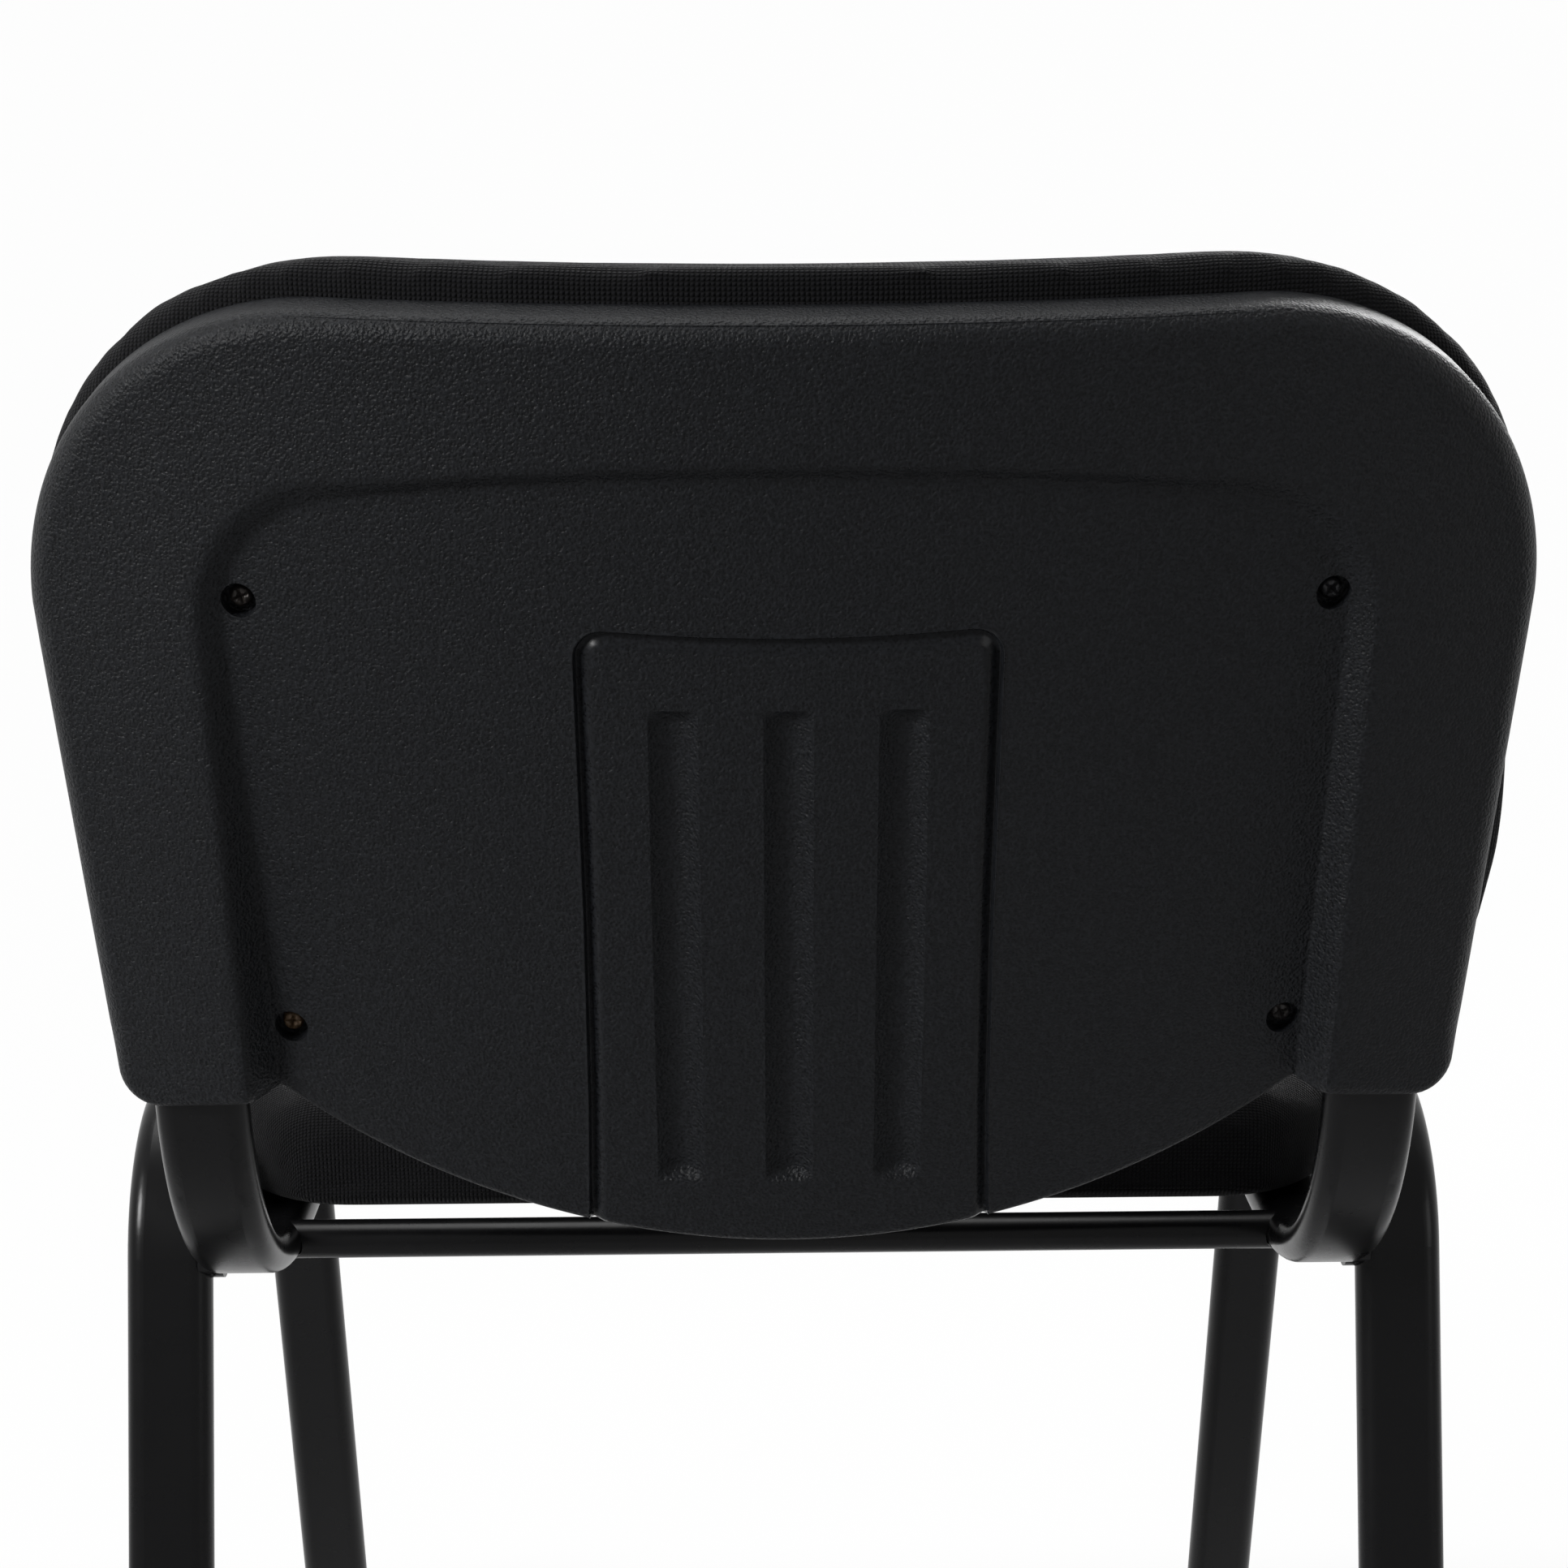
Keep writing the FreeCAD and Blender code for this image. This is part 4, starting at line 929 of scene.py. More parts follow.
def woven_polyester(finish):
    """Plain-woven polyester yarn: matt black, its threads and gaps drawn coarser than real so that they show."""
    material, tree, shader = new_material("woven_polyester")
    uv = node(tree, "ShaderNodeUVMap", uv_map="weave")
    wobble = node(tree, "ShaderNodeTexNoise", {"Vector": uv, "Scale": scale_of(YARN_BEND), "Detail": 1.0})
    bend = node(tree, "ShaderNodeVectorMath", {
        0: wobble.outputs["Color"], "Scale": YARN_SWAY}, operation="SCALE")
    laid = node(tree, "ShaderNodeVectorMath", {0: uv, 1: bend}, operation="ADD")
    thread = node(tree, "ShaderNodeVectorMath", {0: laid, "Scale": 1.0 / finish.thread}, operation="SCALE")
    parts = node(tree, "ShaderNodeSeparateXYZ", {0: thread})
    waves = []
    for axis in ("X", "Y"):
        turn = node(tree, "ShaderNodeMath", {0: parts.outputs[axis], 1: math.pi}, operation="MULTIPLY")
        waves.append(node(tree, "ShaderNodeMath", {0: turn}, operation="SINE"))
    cross = node(tree, "ShaderNodeMath", {0: waves[0], 1: waves[1]}, operation="MULTIPLY")
    raised = node(tree, "ShaderNodeMath", {0: cross}, operation="ABSOLUTE")
    side = node(tree, "ShaderNodeMath", {0: cross, 1: 0.0}, operation="GREATER_THAN")
    lift = node(tree, "ShaderNodeMath", {0: side, 1: 0.25, 2: raised}, operation="MULTIPLY_ADD")
    fuzz = node(tree, "ShaderNodeTexNoise", {"Vector": uv, "Scale": scale_of(YARN_FUZZ), "Detail": 2.0})
    height = node(tree, "ShaderNodeMath", {0: fuzz, 1: 0.35, 2: lift}, operation="MULTIPLY_ADD")
    bump = node(tree, "ShaderNodeBump", {"Strength": 1.0, "Distance": WEAVE_RELIEF, "Height": height})
    base = linear(finish.fabric)
    # Base colour far darker in the gaps between the threads: painted shade in the gaps
    tint = node(tree, "ShaderNodeMix", {
        "Factor": raised, "A": shaded(base, 0.12), "B": base}, data_type="RGBA")
    feed(shader, {
        "Base Color": tint, "Normal": bump, "Roughness": 0.88, "Sheen Weight": 0.05, "Sheen Roughness": 0.5,
        "Specular IOR Level": 0.12})
    return material


def black_polyethylene(finish):
    """Injection-moulded polyethylene of feet and plugs: satin black with faint scuffs."""
    material, tree, shader = new_material("black_polyethylene")
    place = node(tree, "ShaderNodeTexCoord").outputs["Object"]
    scuff = node(tree, "ShaderNodeTexNoise", {
        "Vector": place, "Scale": scale_of(SCUFF), "Detail": 5.0, "Roughness": 0.7})
    rough = node(tree, "ShaderNodeMapRange", {"Value": scuff, "To Min": 0.38, "To Max": 0.58})
    bump = node(tree, "ShaderNodeBump", {"Strength": 0.12, "Distance": SCUFF_RELIEF, "Height": scuff})
    base = linear(finish.cap)
    tint = node(tree, "ShaderNodeMix", {"Factor": scuff, "A": base, "B": shaded(base, 1.5)}, data_type="RGBA")
    feed(shader, {"Base Color": tint, "Roughness": rough, "Normal": bump})
    return material


def black_zinc():
    """Black-passivated zinc screw: dark metal that browns where the film has worn."""
    material, tree, shader = new_material("black_zinc_screw")
    place = node(tree, "ShaderNodeTexCoord").outputs["Object"]
    worn = node(tree, "ShaderNodeAttribute", attribute_name="worn").outputs["Fac"]
    mottle = node(tree, "ShaderNodeTexNoise", {
        "Vector": place, "Scale": scale_of(SCREW_MOTTLE), "Detail": 4.0})
    rough = node(tree, "ShaderNodeMapRange", {"Value": mottle, "To Min": 0.28, "To Max": 0.48})
    tint = node(tree, "ShaderNodeMix", {
        "Factor": worn, "A": linear("#2c2c2e"), "B": linear("#5a4630")}, data_type="RGBA")
    feed(shader, {"Base Color": tint, "Roughness": rough, "Metallic": 0.35})
    return material


def zinc_steel():
    """Zinc-plated steel of bolts, tee nuts and staples: pale grey metal with a faint mottle."""
    material, tree, shader = new_material("zinc_plated_steel")
    place = node(tree, "ShaderNodeTexCoord").outputs["Object"]
    mottle = node(tree, "ShaderNodeTexNoise", {
        "Vector": place, "Scale": scale_of(ZINC_MOTTLE), "Detail": 4.0})
    rough = node(tree, "ShaderNodeMapRange", {"Value": mottle, "To Min": 0.25, "To Max": 0.42})
    tint = node(tree, "ShaderNodeMix", {
        "Factor": mottle, "A": linear("#9a9c9e"), "B": linear("#c2c3c2")}, data_type="RGBA")
    feed(shader, {"Base Color": tint, "Roughness": rough, "Metallic": 1.0})
    return material


def birch_plywood():
    """Rotary-cut birch plywood of the boards: pale wood with long, broad figure."""
    material, tree, shader = new_material("birch_plywood")
    place = node(tree, "ShaderNodeTexCoord").outputs["Object"]
    stretch = tuple(scale_of(width) for width in (FIGURE_LENGTH, FIGURE_WIDTH, FIGURE_WIDTH))
    along = node(tree, "ShaderNodeMapping", {"Vector": place, "Scale": stretch})
    figure = node(tree, "ShaderNodeTexNoise", {
        "Vector": along, "Scale": 1.0, "Detail": 6.0, "Distortion": 0.6})
    tint = node(tree, "ShaderNodeMix", {
        "Factor": figure, "A": linear("#b98f5c"), "B": linear("#dcbb8a")}, data_type="RGBA")
    bump = node(tree, "ShaderNodeBump", {"Strength": 0.15, "Distance": FIGURE_RELIEF, "Height": figure})
    feed(shader, {"Base Color": tint, "Normal": bump, "Roughness": 0.6})
    return material


def felted_cloth():
    """Spun-bonded dust cloth under the seat: thin, matt, with a fine random fibre."""
    material, tree, shader = new_material("spun_bonded_cloth")
    place = node(tree, "ShaderNodeTexCoord").outputs["Object"]
    fibre = node(tree, "ShaderNodeTexNoise", {
        "Vector": place, "Scale": scale_of(FIBRE), "Detail": 6.0, "Roughness": 0.75})
    tint = node(tree, "ShaderNodeMix", {
        "Factor": fibre, "A": linear("#0f0f10"), "B": linear("#29292b")}, data_type="RGBA")
    bump = node(tree, "ShaderNodeBump", {"Strength": 0.4, "Distance": FIBRE_RELIEF, "Height": fibre})
    feed(shader, {"Base Color": tint, "Normal": bump, "Roughness": 0.95})
    return material


def background_rays(tree):
    """One for the rays that show the background: from the camera, off gloss and through clear pieces."""
    path = node(tree, "ShaderNodeLightPath")
    seen = path.outputs["Is Camera Ray"]
    for kind in ("Is Glossy Ray", "Is Transmission Ray"):
        seen = node(tree, "ShaderNodeMath", {0: seen, 1: path.outputs[kind]}, operation="MAXIMUM")
    return seen


def background_level(tree, facing):
    """White in front of the chair and pale grey behind it, by the way the background lies from the chair."""
    return node(tree, "ShaderNodeMapRange", {
        "Value": facing, "From Min": -0.4, "From Max": 0.4, "To Min": LEVEL_FRONT, "To Max": LEVEL_REAR,
    }, interpolation_type="SMOOTHSTEP")


def studio_paper():
    """Pale paper sweep: matt under the chair, and past it as bright as the background."""
    material, tree, shader = new_material("studio_paper")
    output = shader.outputs["BSDF"].links[0].to_node
    feed(shader, {"Base Color": linear("#c9c9ca"), "Roughness": 0.9})
    place = node(tree, "ShaderNodeSeparateXYZ", {0: node(tree, "ShaderNodeTexCoord").outputs["Object"]})
    plan = node(tree, "ShaderNodeCombineXYZ", {"X": place.outputs["X"], "Y": place.outputs["Y"]})
    reach = node(tree, "ShaderNodeVectorMath", {0: plan}, operation="LENGTH").outputs["Value"]
    fades = [
        node(tree, "ShaderNodeMapRange", {
            "Value": value, "From Min": start, "From Max": end, "To Min": 0.0, "To Max": FADE_MOST,
        }, interpolation_type="SMOOTHSTEP")
        for value, (start, end) in ((place.outputs["Y"], FADE_BEHIND), (reach, FADE_AWAY))
    ]
    bare = node(tree, "ShaderNodeMath", {0: fades[0], 1: fades[1]}, operation="MAXIMUM")
    white = node(tree, "ShaderNodeMath", {0: background_rays(tree), 1: bare}, operation="MULTIPLY")
    facing = node(tree, "ShaderNodeMath", {0: place.outputs["Y"], 1: reach}, operation="DIVIDE")
    glow = node(tree, "ShaderNodeEmission", {
        "Color": (1.0, 1.0, 1.0, 1.0), "Strength": background_level(tree, facing)})
    feed(output, {"Surface": node(tree, "ShaderNodeMixShader", {0: white, 1: shader, 2: glow})})
    return material


# Repeated pieces by Geometry Nodes


def repeat_tree():
    """Tree that puts a shape on every point, turned by the point's own facing, as one real mesh."""
    tree = bpy.data.node_groups.new("Repeat on points", "GeometryNodeTree")
    for name, kind in (("Geometry", "Geometry"), ("Shape", "Object"), ("Finish", "Material")):
        tree.interface.new_socket(name, in_out="INPUT", socket_type="NodeSocket" + kind)
    tree.interface.new_socket("Geometry", in_out="OUTPUT", socket_type="NodeSocketGeometry")
    start = node(tree, "NodeGroupInput")
    shape = node(tree, "GeometryNodeObjectInfo", {"Object": start.outputs["Shape"]})
    facing = node(tree, "GeometryNodeInputNamedAttribute", {"Name": "facing"}, data_type="FLOAT_VECTOR")
    points = node(tree, "GeometryNodeMeshToPoints", {"Mesh": start.outputs["Geometry"]})
    placed = node(tree, "GeometryNodeInstanceOnPoints", {
        "Points": points, "Instance": shape.outputs["Geometry"], "Rotation": facing.outputs[0]})
    real = node(tree, "GeometryNodeRealizeInstances", {0: placed})
    finish = node(tree, "GeometryNodeSetMaterial", {"Geometry": real, "Material": start.outputs["Finish"]})
    node(tree, "NodeGroupOutput", {0: finish})
    return tree


def repeated(name, shape, places, facings, material, extra=None):
    """Mesh of a shape repeated at places with Euler facings; extra holds a value for each place."""
    carrier = mesh_object(name, places, [])
    layer = carrier.data.attributes.new("facing", "FLOAT_VECTOR", "POINT")
    layer.data.foreach_set("vector", np.array(facings, np.float32).ravel())
    for key, values in (extra or {}).items():
        layer = carrier.data.attributes.new(key, "FLOAT", "POINT")
        layer.data.foreach_set("value", np.array(values, np.float32))
    tree = repeat_tree()
    modifier = carrier.modifiers.new("Repeat", "NODES")
    modifier.node_group = tree
    keys = {item.name: item.identifier for item in tree.interface.items_tree if item.in_out == "INPUT"}
    modifier[keys["Shape"]] = shape
    modifier[keys["Finish"]] = material
    bpy.context.view_layer.update()
    done = carrier.evaluated_get(bpy.context.evaluated_depsgraph_get())
    mesh = bpy.data.meshes.new_from_object(done)
    carrier.modifiers.remove(modifier)
    carrier.data = mesh
    bpy.data.objects.remove(shape)
    if not mesh.materials:
        mesh.materials.append(material)
    shade_smooth(mesh, 40.0)
    return carrier


# Pan screw in millimetres: profile as radius and height from crown to tip, and the depth and half width
# of the cross slot's arms, near the middle and further out
PAN_PROFILE = (
    (0.0, 2.75), (1.6, 2.68), (2.8, 2.35), (3.5, 1.75), (3.9, 0.9), (4.0, 0.25), (3.85, 0.0),
    (2.0, 0.0), (2.0, -9.0), (1.2, -12.0), (0.0, -13.0),
)
PAN_TURNS = 48
SLOT_FLOOR = 1.9
SLOT_CORE = 2.0
SLOT_REACH = 3.0
SLOT_INNER = (1.3, 0.75)
SLOT_OUTER = (0.35, 0.6)
SCREW_WEAR = (0.15, 0.0, 0.85, 0.1)

# Staples in metres, and weld ripples: count round a bead, place on it, sway, and radii in millimetres
STAPLE_INSET = 0.006
STAPLE_GAP = 0.024
STAPLE_CORNER = 0.055
RIPPLES = 18
RIPPLE_PLACE = 0.86
RIPPLE_SWAY = 0.12
RIPPLE_RADII = (2.2, 1.6, 1.5)


def pan_screw_shape():
    """One cross-head pan screw along +Z, its head's seat at the origin; head 8 mm across."""
    points, faces = [], []
    rows = PAN_PROFILE[1:-1]
    for radius, height in rows:
        for i in range(PAN_TURNS):
            angle = 2 * math.pi * i / PAN_TURNS
            x, y = radius * math.cos(angle), radius * math.sin(angle)
            drop = 0.0
            if height > 1.0 and radius <= SLOT_REACH:
                depth, half = SLOT_INNER if radius <= SLOT_CORE else SLOT_OUTER
                drop = depth * max(0.0, 1.0 - min(abs(x), abs(y)) / half)
            points.append((x * MM, y * MM, (height - drop) * MM))
    for r in range(len(rows) - 1):
        for i in range(PAN_TURNS):
            j = (i + 1) % PAN_TURNS
            upper, lower = r * PAN_TURNS, (r + 1) * PAN_TURNS
            faces.append((upper + i, lower + i, lower + j, upper + j))
    points.append((0.0, 0.0, (PAN_PROFILE[0][1] - SLOT_FLOOR) * MM))
    points.append((0.0, 0.0, PAN_PROFILE[-1][1] * MM))
    top, tip = len(points) - 2, len(points) - 1
    last = (len(rows) - 1) * PAN_TURNS
    for i in range(PAN_TURNS):
        j = (i + 1) % PAN_TURNS
        faces += [(i, j, top), (last + j, last + i, tip)]
    shape = mesh_object("pan_screw_shape", points, faces)
    turn_outwards(shape)
    return shape


def staple_shape():
    """One flat-crown staple with legs 10 mm apart, lying against a face that looks along +Z."""
    wire, half, lift, leg = 0.55, 5.0, 0.5, -1.6
    ring = [(-wire, 0.0), (0.0, -wire), (wire, 0.0), (0.0, wire)]
    path = [(-half, leg, 0.0), (-half, lift, 1.0), (half, lift, 1.0), (half, leg, 0.0)]
    points, faces = [], []
    for x, z, corner in path:
        points += [((x + math.copysign(1.0, x) * a) * MM, b * MM, (z + a * corner) * MM) for a, b in ring]
    for k in range(3):
        for i in range(4):
            j = (i + 1) % 4
            faces.append((k * 4 + i, k * 4 + j, (k + 1) * 4 + j, (k + 1) * 4 + i))
    faces += [(3, 2, 1, 0), (12, 13, 14, 15)]
    shape = mesh_object("staple_shape", points, faces)
    turn_outwards(shape)
    return shape


def ripple_shape():
    """One ripple of a weld bead: a flattened pebble."""
    work = bmesh.new()
    bmesh.ops.create_icosphere(work, subdivisions=3, radius=1.0)
    bmesh.ops.scale(work, vec=[r * MM for r in RIPPLE_RADII], verts=work.verts)
    mesh = bpy.data.meshes.new("ripple_shape")
    work.to_mesh(mesh)
    work.free()
    shape = bpy.data.objects.new("ripple_shape", mesh)
    bpy.context.collection.objects.link(shape)
    return shape


# Stage in metres and watts: sweep, and each lamp's place, aim, side, power and spread in degrees
SWEEP_REACH = 12.0
SWEEP_BEND = -1.6
SWEEP_RADIUS = 1.2
SWEEP_TOP = 5.0
LAMPS = (
    ("key_softbox", (2.3, 1.8, 2.0), (0.0, 0.25, 0.62), 0.9, 21.0, 80.0),
    ("overhead_softbox", (0.2, -0.2, 2.6), (0.0, 0.12, 0.6), 1.2, 12.0, 140.0),
    ("fill_softbox", (-2.2, 1.9, 1.2), (0.0, 0.25, 0.62), 1.2, 3.0, 110.0),
    ("front_softbox", (-1.2, -2.2, 1.7), (0.0, 0.0, 0.5), 1.4, 30.0, 110.0),
)
SENSOR = 36.0


def studio_sweep():
    """Floor that bends up into a backdrop."""
    sweep = [(SWEEP_REACH, 0.0), (SWEEP_BEND, 0.0)]
    for t in np.linspace(0.1, math.pi / 2, 12):
        sweep.append((SWEEP_BEND - SWEEP_RADIUS * math.sin(t), SWEEP_RADIUS - SWEEP_RADIUS * math.cos(t)))
    sweep.append((SWEEP_BEND - SWEEP_RADIUS, SWEEP_TOP))
    points = [(x, y, z) for y, z in sweep for x in (-SWEEP_REACH, SWEEP_REACH)]
    faces = [(2 * i, 2 * i + 1, 2 * i + 3, 2 * i + 2) for i in range(len(sweep) - 1)]
    floor = mesh_object("studio_sweep", points, faces, studio_paper())
    shade_smooth(floor.data, 60.0)
    return floor


def studio_lamp(name, place, aim, size, power, spread):
    """A square soft box that looks at a point."""
    data = bpy.data.lights.new(name, "AREA")
    data.shape = "SQUARE"
    data.size = size
    data.energy = power
    data.spread = math.radians(spread)
    lamp = bpy.data.objects.new(name, data)
    lamp.location = place
    lamp.rotation_euler = (Vector(aim) - Vector(place)).to_track_quat("-Z", "Y").to_euler()
    bpy.context.collection.objects.link(lamp)


def studio_air():
    """World that lights the chair faintly and shows the background to the rays that see it."""
    world = bpy.data.worlds.new("studio_air")
    world.use_nodes = True
    tree = world.node_tree
    way = node(tree, "ShaderNodeSeparateXYZ", {0: node(tree, "ShaderNodeTexCoord").outputs["Generated"]})
    level = background_level(tree, way.outputs["Y"])
    seen = background_rays(tree)
    air = node(tree, "ShaderNodeMapRange", {"Value": seen, "To Min": AIR_LEVEL, "To Max": level})
    feed(tree.nodes["Background"], {"Color": linear("#ffffff"), "Strength": air})
    return world


def photo_camera(settings):
    """Camera at the photo's place."""
    data = bpy.data.cameras.new("photo_camera")
    data.sensor_width = SENSOR
    data.lens = SENSOR * settings.focal / PHOTO_SIDE
    data.clip_start, data.clip_end = 0.01, 50.0
    camera = bpy.data.objects.new("photo_camera", data)
    turn = (
        Matrix.Rotation(math.pi - settings.yaw, 4, "Z")
        @ Matrix.Rotation(math.pi / 2 - settings.pitch, 4, "X")
        @ Matrix.Rotation(-settings.roll, 4, "Z")
    )
    camera.matrix_world = Matrix.Translation(Vector(settings.place)) @ turn
    bpy.context.collection.objects.link(camera)
    return camera


# Operators


class CHAIR_OT_back_shell(bpy.types.Operator):
    """Mould the back shell with its recess, groove frame, flutes and screw wells"""

    bl_idname = "chair.back_shell"
    bl_label = "Back shell"

    def execute(self, context):
        scene = context.scene
        shell = build_shell(scene.chair_shell, grained_polypropylene(scene.chair_finish))
        fit(shell, ["back_shell"])
        return {"FINISHED"}


class CHAIR_OT_shell_screws(bpy.types.Operator):
    """Drive the four cross-head screws of the back shell"""

    bl_idname = "chair.shell_screws"
    bl_label = "Shell screws"

    def execute(self, context):
        settings = context.scene.chair_shell
        form = ShellForm(settings)
        places, facings = [], []
        for index, (x, height) in enumerate(SCREWS):
            seat = float(form.flat(np.array([[x, height]]))[0]) - SCREW_SINK
            places.append(back_point(settings, x * MM, height * MM, seat * MM))
            tilt = Matrix.Rotation(-math.pi / 2 - settings.lean, 4, "X")
            spin = Matrix.Rotation(math.radians(20.0 + 31.0 * index), 4, "Z")
            facings.append(tuple((tilt @ spin).to_euler()))
        screws = repeated(
            "shell_screws_cross_head", pan_screw_shape(), places, facings, black_zinc(), {"worn": SCREW_WEAR})
        fit(screws, ["shell_screws"])
        return {"FINISHED"}


class CHAIR_OT_back_cushion(bpy.types.Operator):
    """Stuff the back cushion and lay its weave"""

    bl_idname = "chair.back_cushion"
    bl_label = "Back cushion"

    def execute(self, context):
        scene = context.scene
        shell = scene.chair_shell
        piece = ring_mesh("back_cushion_upholstery", back_rings(scene.chair_cushion, shell))
        sine, cosine = math.sin(shell.lean), math.cos(shell.lean)
        rear = shell.wrap_radius - BACK_GAP * MM
        middle = rear - scene.chair_cushion.thickness / 2

        def local(points):
            y, z = points[:, 1] - shell.datum[1], points[:, 2] - shell.datum[2]
            height = y * sine + z * cosine
            depth = y * cosine - z * sine
            radial = np.hypot(points[:, 0], depth - shell.wrap_centre)
            across = np.arctan2(points[:, 0], depth - shell.wrap_centre) * rear
            return across, height, radial

        def held(points):
            return local(points)[2] > rear - BACK_HELD

        stuff(piece, scene.chair_cushion, held)

        def weave(points):
            across, height, radial = local(points)
            behind = radial - middle
            return np.stack([across + behind * WEAVE_SKEW, height - np.abs(behind)], axis=1)

        lay_weave(piece, weave)
        piece.data.materials.append(woven_polyester(scene.chair_finish))
        fit(piece, ["back_cover", "back_foam"])
        return {"FINISHED"}


class CHAIR_OT_seat_cushion(bpy.types.Operator):
    """Stuff the seat cushion and lay its weave"""

    bl_idname = "chair.seat_cushion"
    bl_label = "Seat cushion"

    def execute(self, context):
        scene = context.scene
        piece = ring_mesh("seat_cushion_upholstery", seat_rings())
        low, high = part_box("seat_cover")

        def held(points):
            return points[:, 2] < low.z + SEAT_HELD

        stuff(piece, scene.chair_cushion, held)
        middle_y = (low.y + high.y) / 2

        def weave(points):
            fall = high.z - points[:, 2]
            wide = np.abs(points[:, 0]) / ((high.x - low.x) / 2)
            long = np.abs(points[:, 1] - middle_y) / ((high.y - low.y) / 2)
            sideways = smooth_step(wide - long, -WEAVE_CORNER, WEAVE_CORNER)
            x = points[:, 0] + np.sign(points[:, 0]) * fall * sideways
            y = points[:, 1] + np.sign(points[:, 1] - middle_y) * fall * (1.0 - sideways)
            return np.stack([x, y], axis=1)

        lay_weave(piece, weave)
        piece.data.materials.append(woven_polyester(scene.chair_finish))
        fit(piece, ["seat_cover", "seat_foam"])
        return {"FINISHED"}


class CHAIR_OT_staples(bpy.types.Operator):
    """Staple the seat cover under the board, round the dust cloth"""

    bl_idname = "chair.staples"
    bl_label = "Cover staples"

    def execute(self, context):
        low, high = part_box("seat_dust_cloth")
        half = np.array([high.x - low.x, high.y - low.y]) / 2 - STAPLE_INSET
        inner = half - STAPLE_CORNER
        corners = np.array([[-1.0, -1.0], [1.0, -1.0], [1.0, 1.0], [-1.0, 1.0]]) * half
        places, facings = [], []
        for x, y in resample(corners, STAPLE_GAP, True):
            over = np.array([abs(x) - inner[0], abs(y) - inner[1]])
            if (over > 0).all():
                over *= STAPLE_CORNER / max(np.hypot(*over), 1e-9)
                x = math.copysign(inner[0] + over[0], x)
                y = math.copysign(inner[1] + over[1], y)
            places.append((x, y + (low.y + high.y) / 2, low.z))
            on_side = abs(x) / half[0] > abs(y) / half[1]
            facings.append((math.pi, 0.0, math.pi / 2 if on_side else 0.0))
        staples = repeated("seat_cover_staples", staple_shape(), places, facings, zinc_steel())
        fit(staples)
        return {"FINISHED"}


class CHAIR_OT_weld_ripples(bpy.types.Operator):
    """Lay the rippled weld beads between the legs and the back tubes"""

    bl_idname = "chair.weld_ripples"
    bl_label = "Weld ripples"

    def execute(self, context):
        places, facings = [], []
        for node_name in ("rear_weld_left", "rear_weld_right", "front_weld_left", "front_weld_right"):
            low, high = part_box(node_name)
            middle = (low + high) / 2
            radius = (high.z - low.z) / 2 * RIPPLE_PLACE
            for step in range(RIPPLES):
                angle = 2 * math.pi * step / RIPPLES
                y, z = radius * math.cos(angle), radius * math.sin(angle)
                places.append((middle.x, middle.y + y, middle.z + z))
                facings.append((angle + math.pi / 2, RIPPLE_SWAY * math.sin(5 * angle), 0.0))
        coat = powder_coat(context.scene.chair_finish)
        ripples = repeated("weld_ripples", ripple_shape(), places, facings, coat)
        fit(ripples)
        return {"FINISHED"}


class CHAIR_OT_frame_finish(bpy.types.Operator):
    """Coat the tubes, feet, plugs, boards and fasteners that come from the frame"""

    bl_idname = "chair.frame_finish"
    bl_label = "Frame finish"

    def execute(self, context):
        finish = context.scene.chair_finish
        coats = {
            "steel_tube": powder_coat(finish),
            "shell_plastic": black_polyethylene(finish),
            "foot_plastic": black_polyethylene(finish),
            "spacer_plastic": black_polyethylene(finish),
            "plywood": birch_plywood(),
            "dust_cloth": felted_cloth(),
            "screw_steel": zinc_steel(),
        }
        for part in frame["record"]["subparts"]:
            coat = coats.get(part["material_slot"])
            if coat is None:
                continue
            mesh = frame["nodes"][part["node"]].data
            mesh.materials.clear()
            mesh.materials.append(coat)
        return {"FINISHED"}


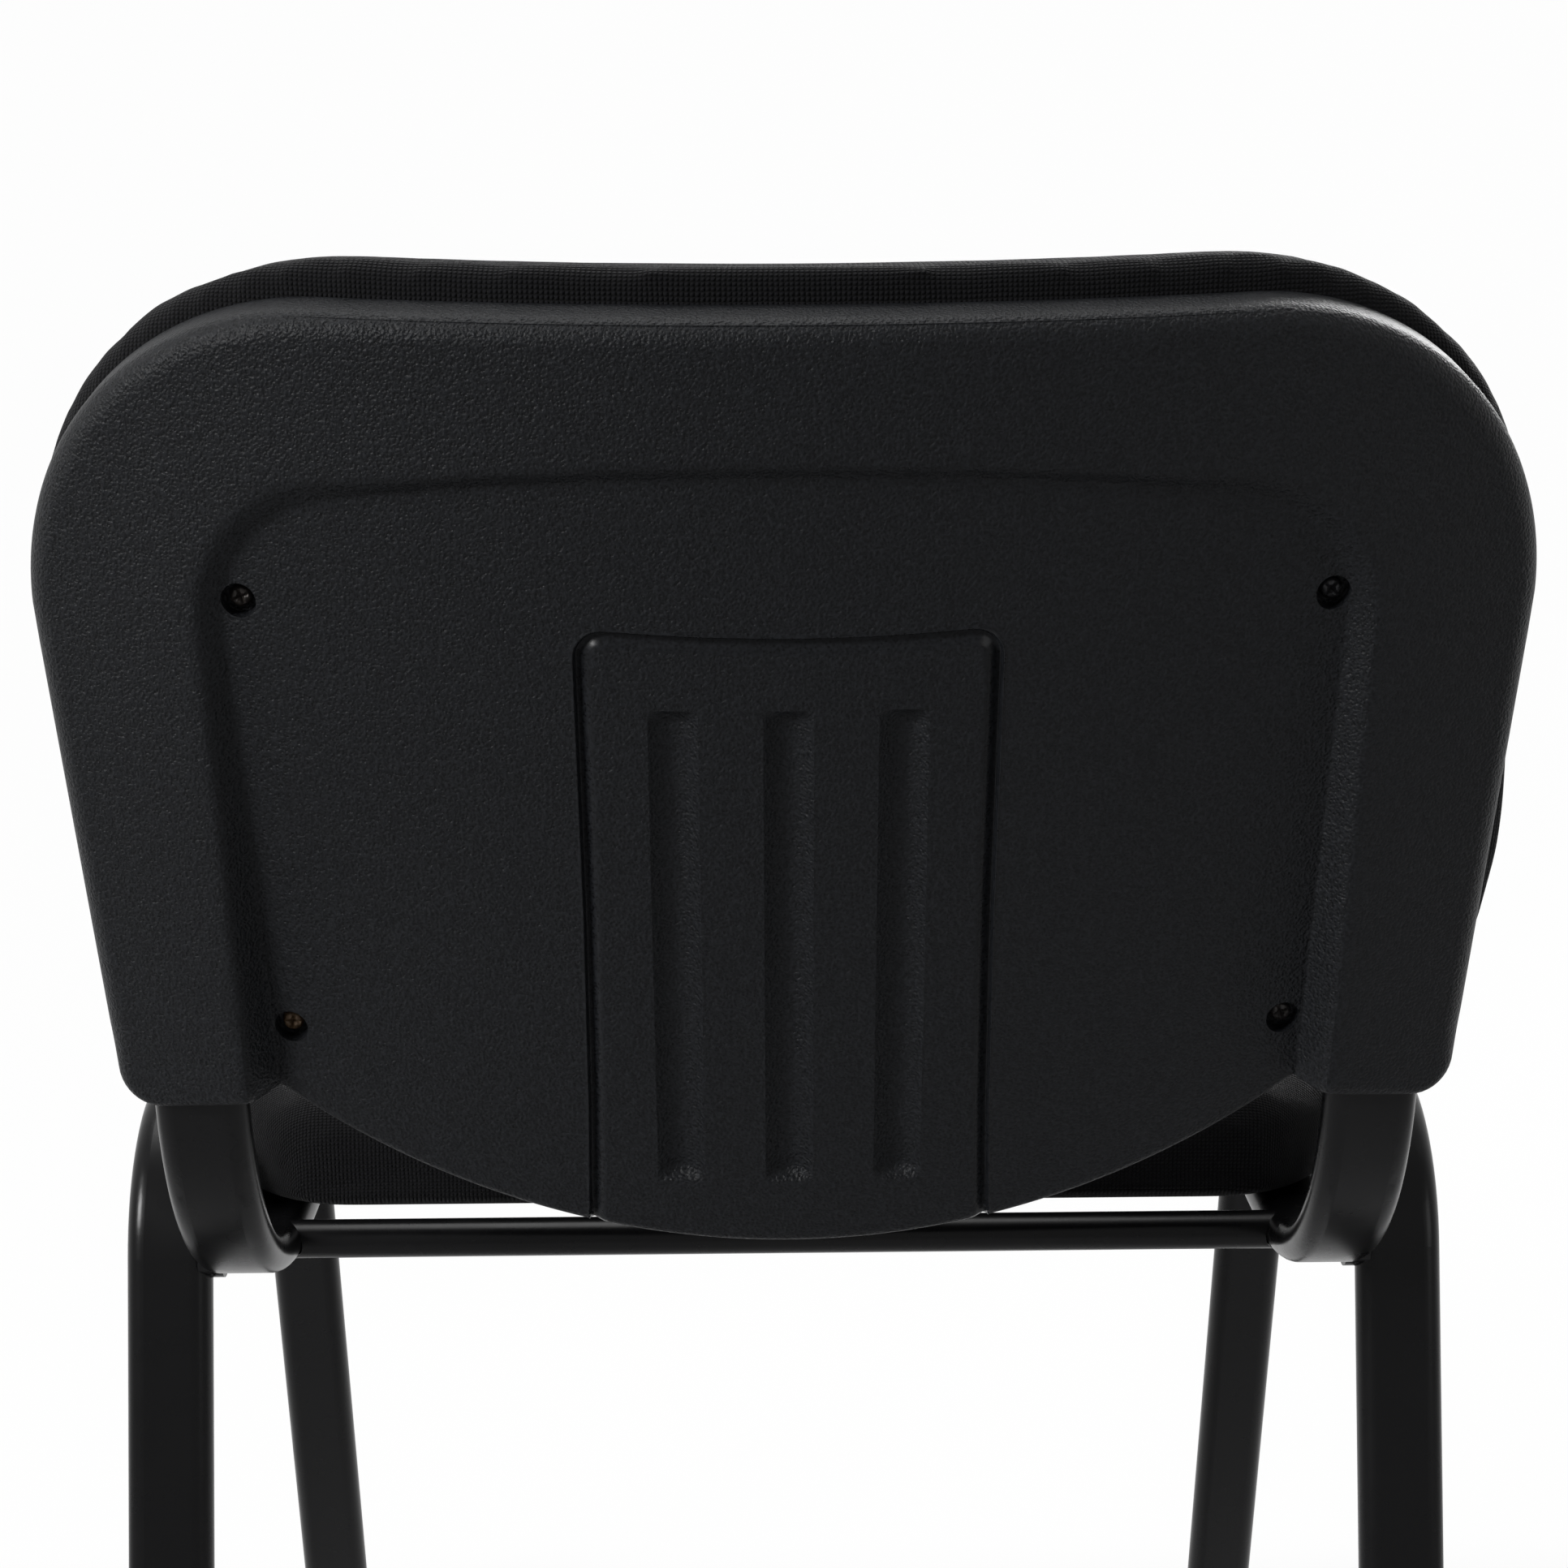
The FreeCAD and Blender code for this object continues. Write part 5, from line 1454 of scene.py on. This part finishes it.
class CHAIR_OT_stage(bpy.types.Operator):
    """Set the floor, backdrop, lamps and camera"""

    bl_idname = "chair.stage"
    bl_label = "Stage"

    def execute(self, context):
        scene = context.scene
        floor = studio_sweep()
        for lamp in LAMPS:
            studio_lamp(*lamp)
        scene.world = studio_air()
        scene.camera = photo_camera(scene.chair_stage)
        scene.view_settings.view_transform = "Standard"
        return {"FINISHED"}


class CHAIR_PT_pieces(bpy.types.Panel):
    """Pieces of the visitor chair"""

    bl_idname = "CHAIR_PT_pieces"
    bl_label = "Visitor chair"
    bl_space_type = "VIEW_3D"
    bl_region_type = "UI"
    bl_category = "Chair"

    def draw(self, context):
        for operator in OPERATORS:
            self.layout.operator(operator.bl_idname)
        for name in SETTINGS:
            group = getattr(context.scene, name)
            box = self.layout.box()
            for key in group.__annotations__:
                box.prop(group, key)


OPERATORS = (
    CHAIR_OT_frame_finish,
    CHAIR_OT_back_shell,
    CHAIR_OT_shell_screws,
    CHAIR_OT_back_cushion,
    CHAIR_OT_seat_cushion,
    CHAIR_OT_staples,
    CHAIR_OT_weld_ripples,
    CHAIR_OT_stage,
)
SETTINGS = {
    "chair_shell": ChairShellSettings,
    "chair_cushion": ChairCushionSettings,
    "chair_finish": ChairFinishSettings,
    "chair_stage": ChairStageSettings,
}


def register():
    for cls in (*SETTINGS.values(), *OPERATORS, CHAIR_PT_pieces):
        bpy.utils.register_class(cls)
    for key, cls in SETTINGS.items():
        setattr(bpy.types.Scene, key, PointerProperty(type=cls))


def unregister():
    for key in SETTINGS:
        delattr(bpy.types.Scene, key)
    for cls in reversed((*SETTINGS.values(), *OPERATORS, CHAIR_PT_pieces)):
        bpy.utils.unregister_class(cls)


def main():
    register()
    bpy.ops.chair.frame_finish()
    bpy.ops.chair.back_shell()
    bpy.ops.chair.shell_screws()
    bpy.ops.chair.back_cushion()
    bpy.ops.chair.seat_cushion()
    bpy.ops.chair.staples()
    bpy.ops.chair.weld_ripples()
    bpy.ops.chair.stage()


if __name__ == "__main__":
    main()
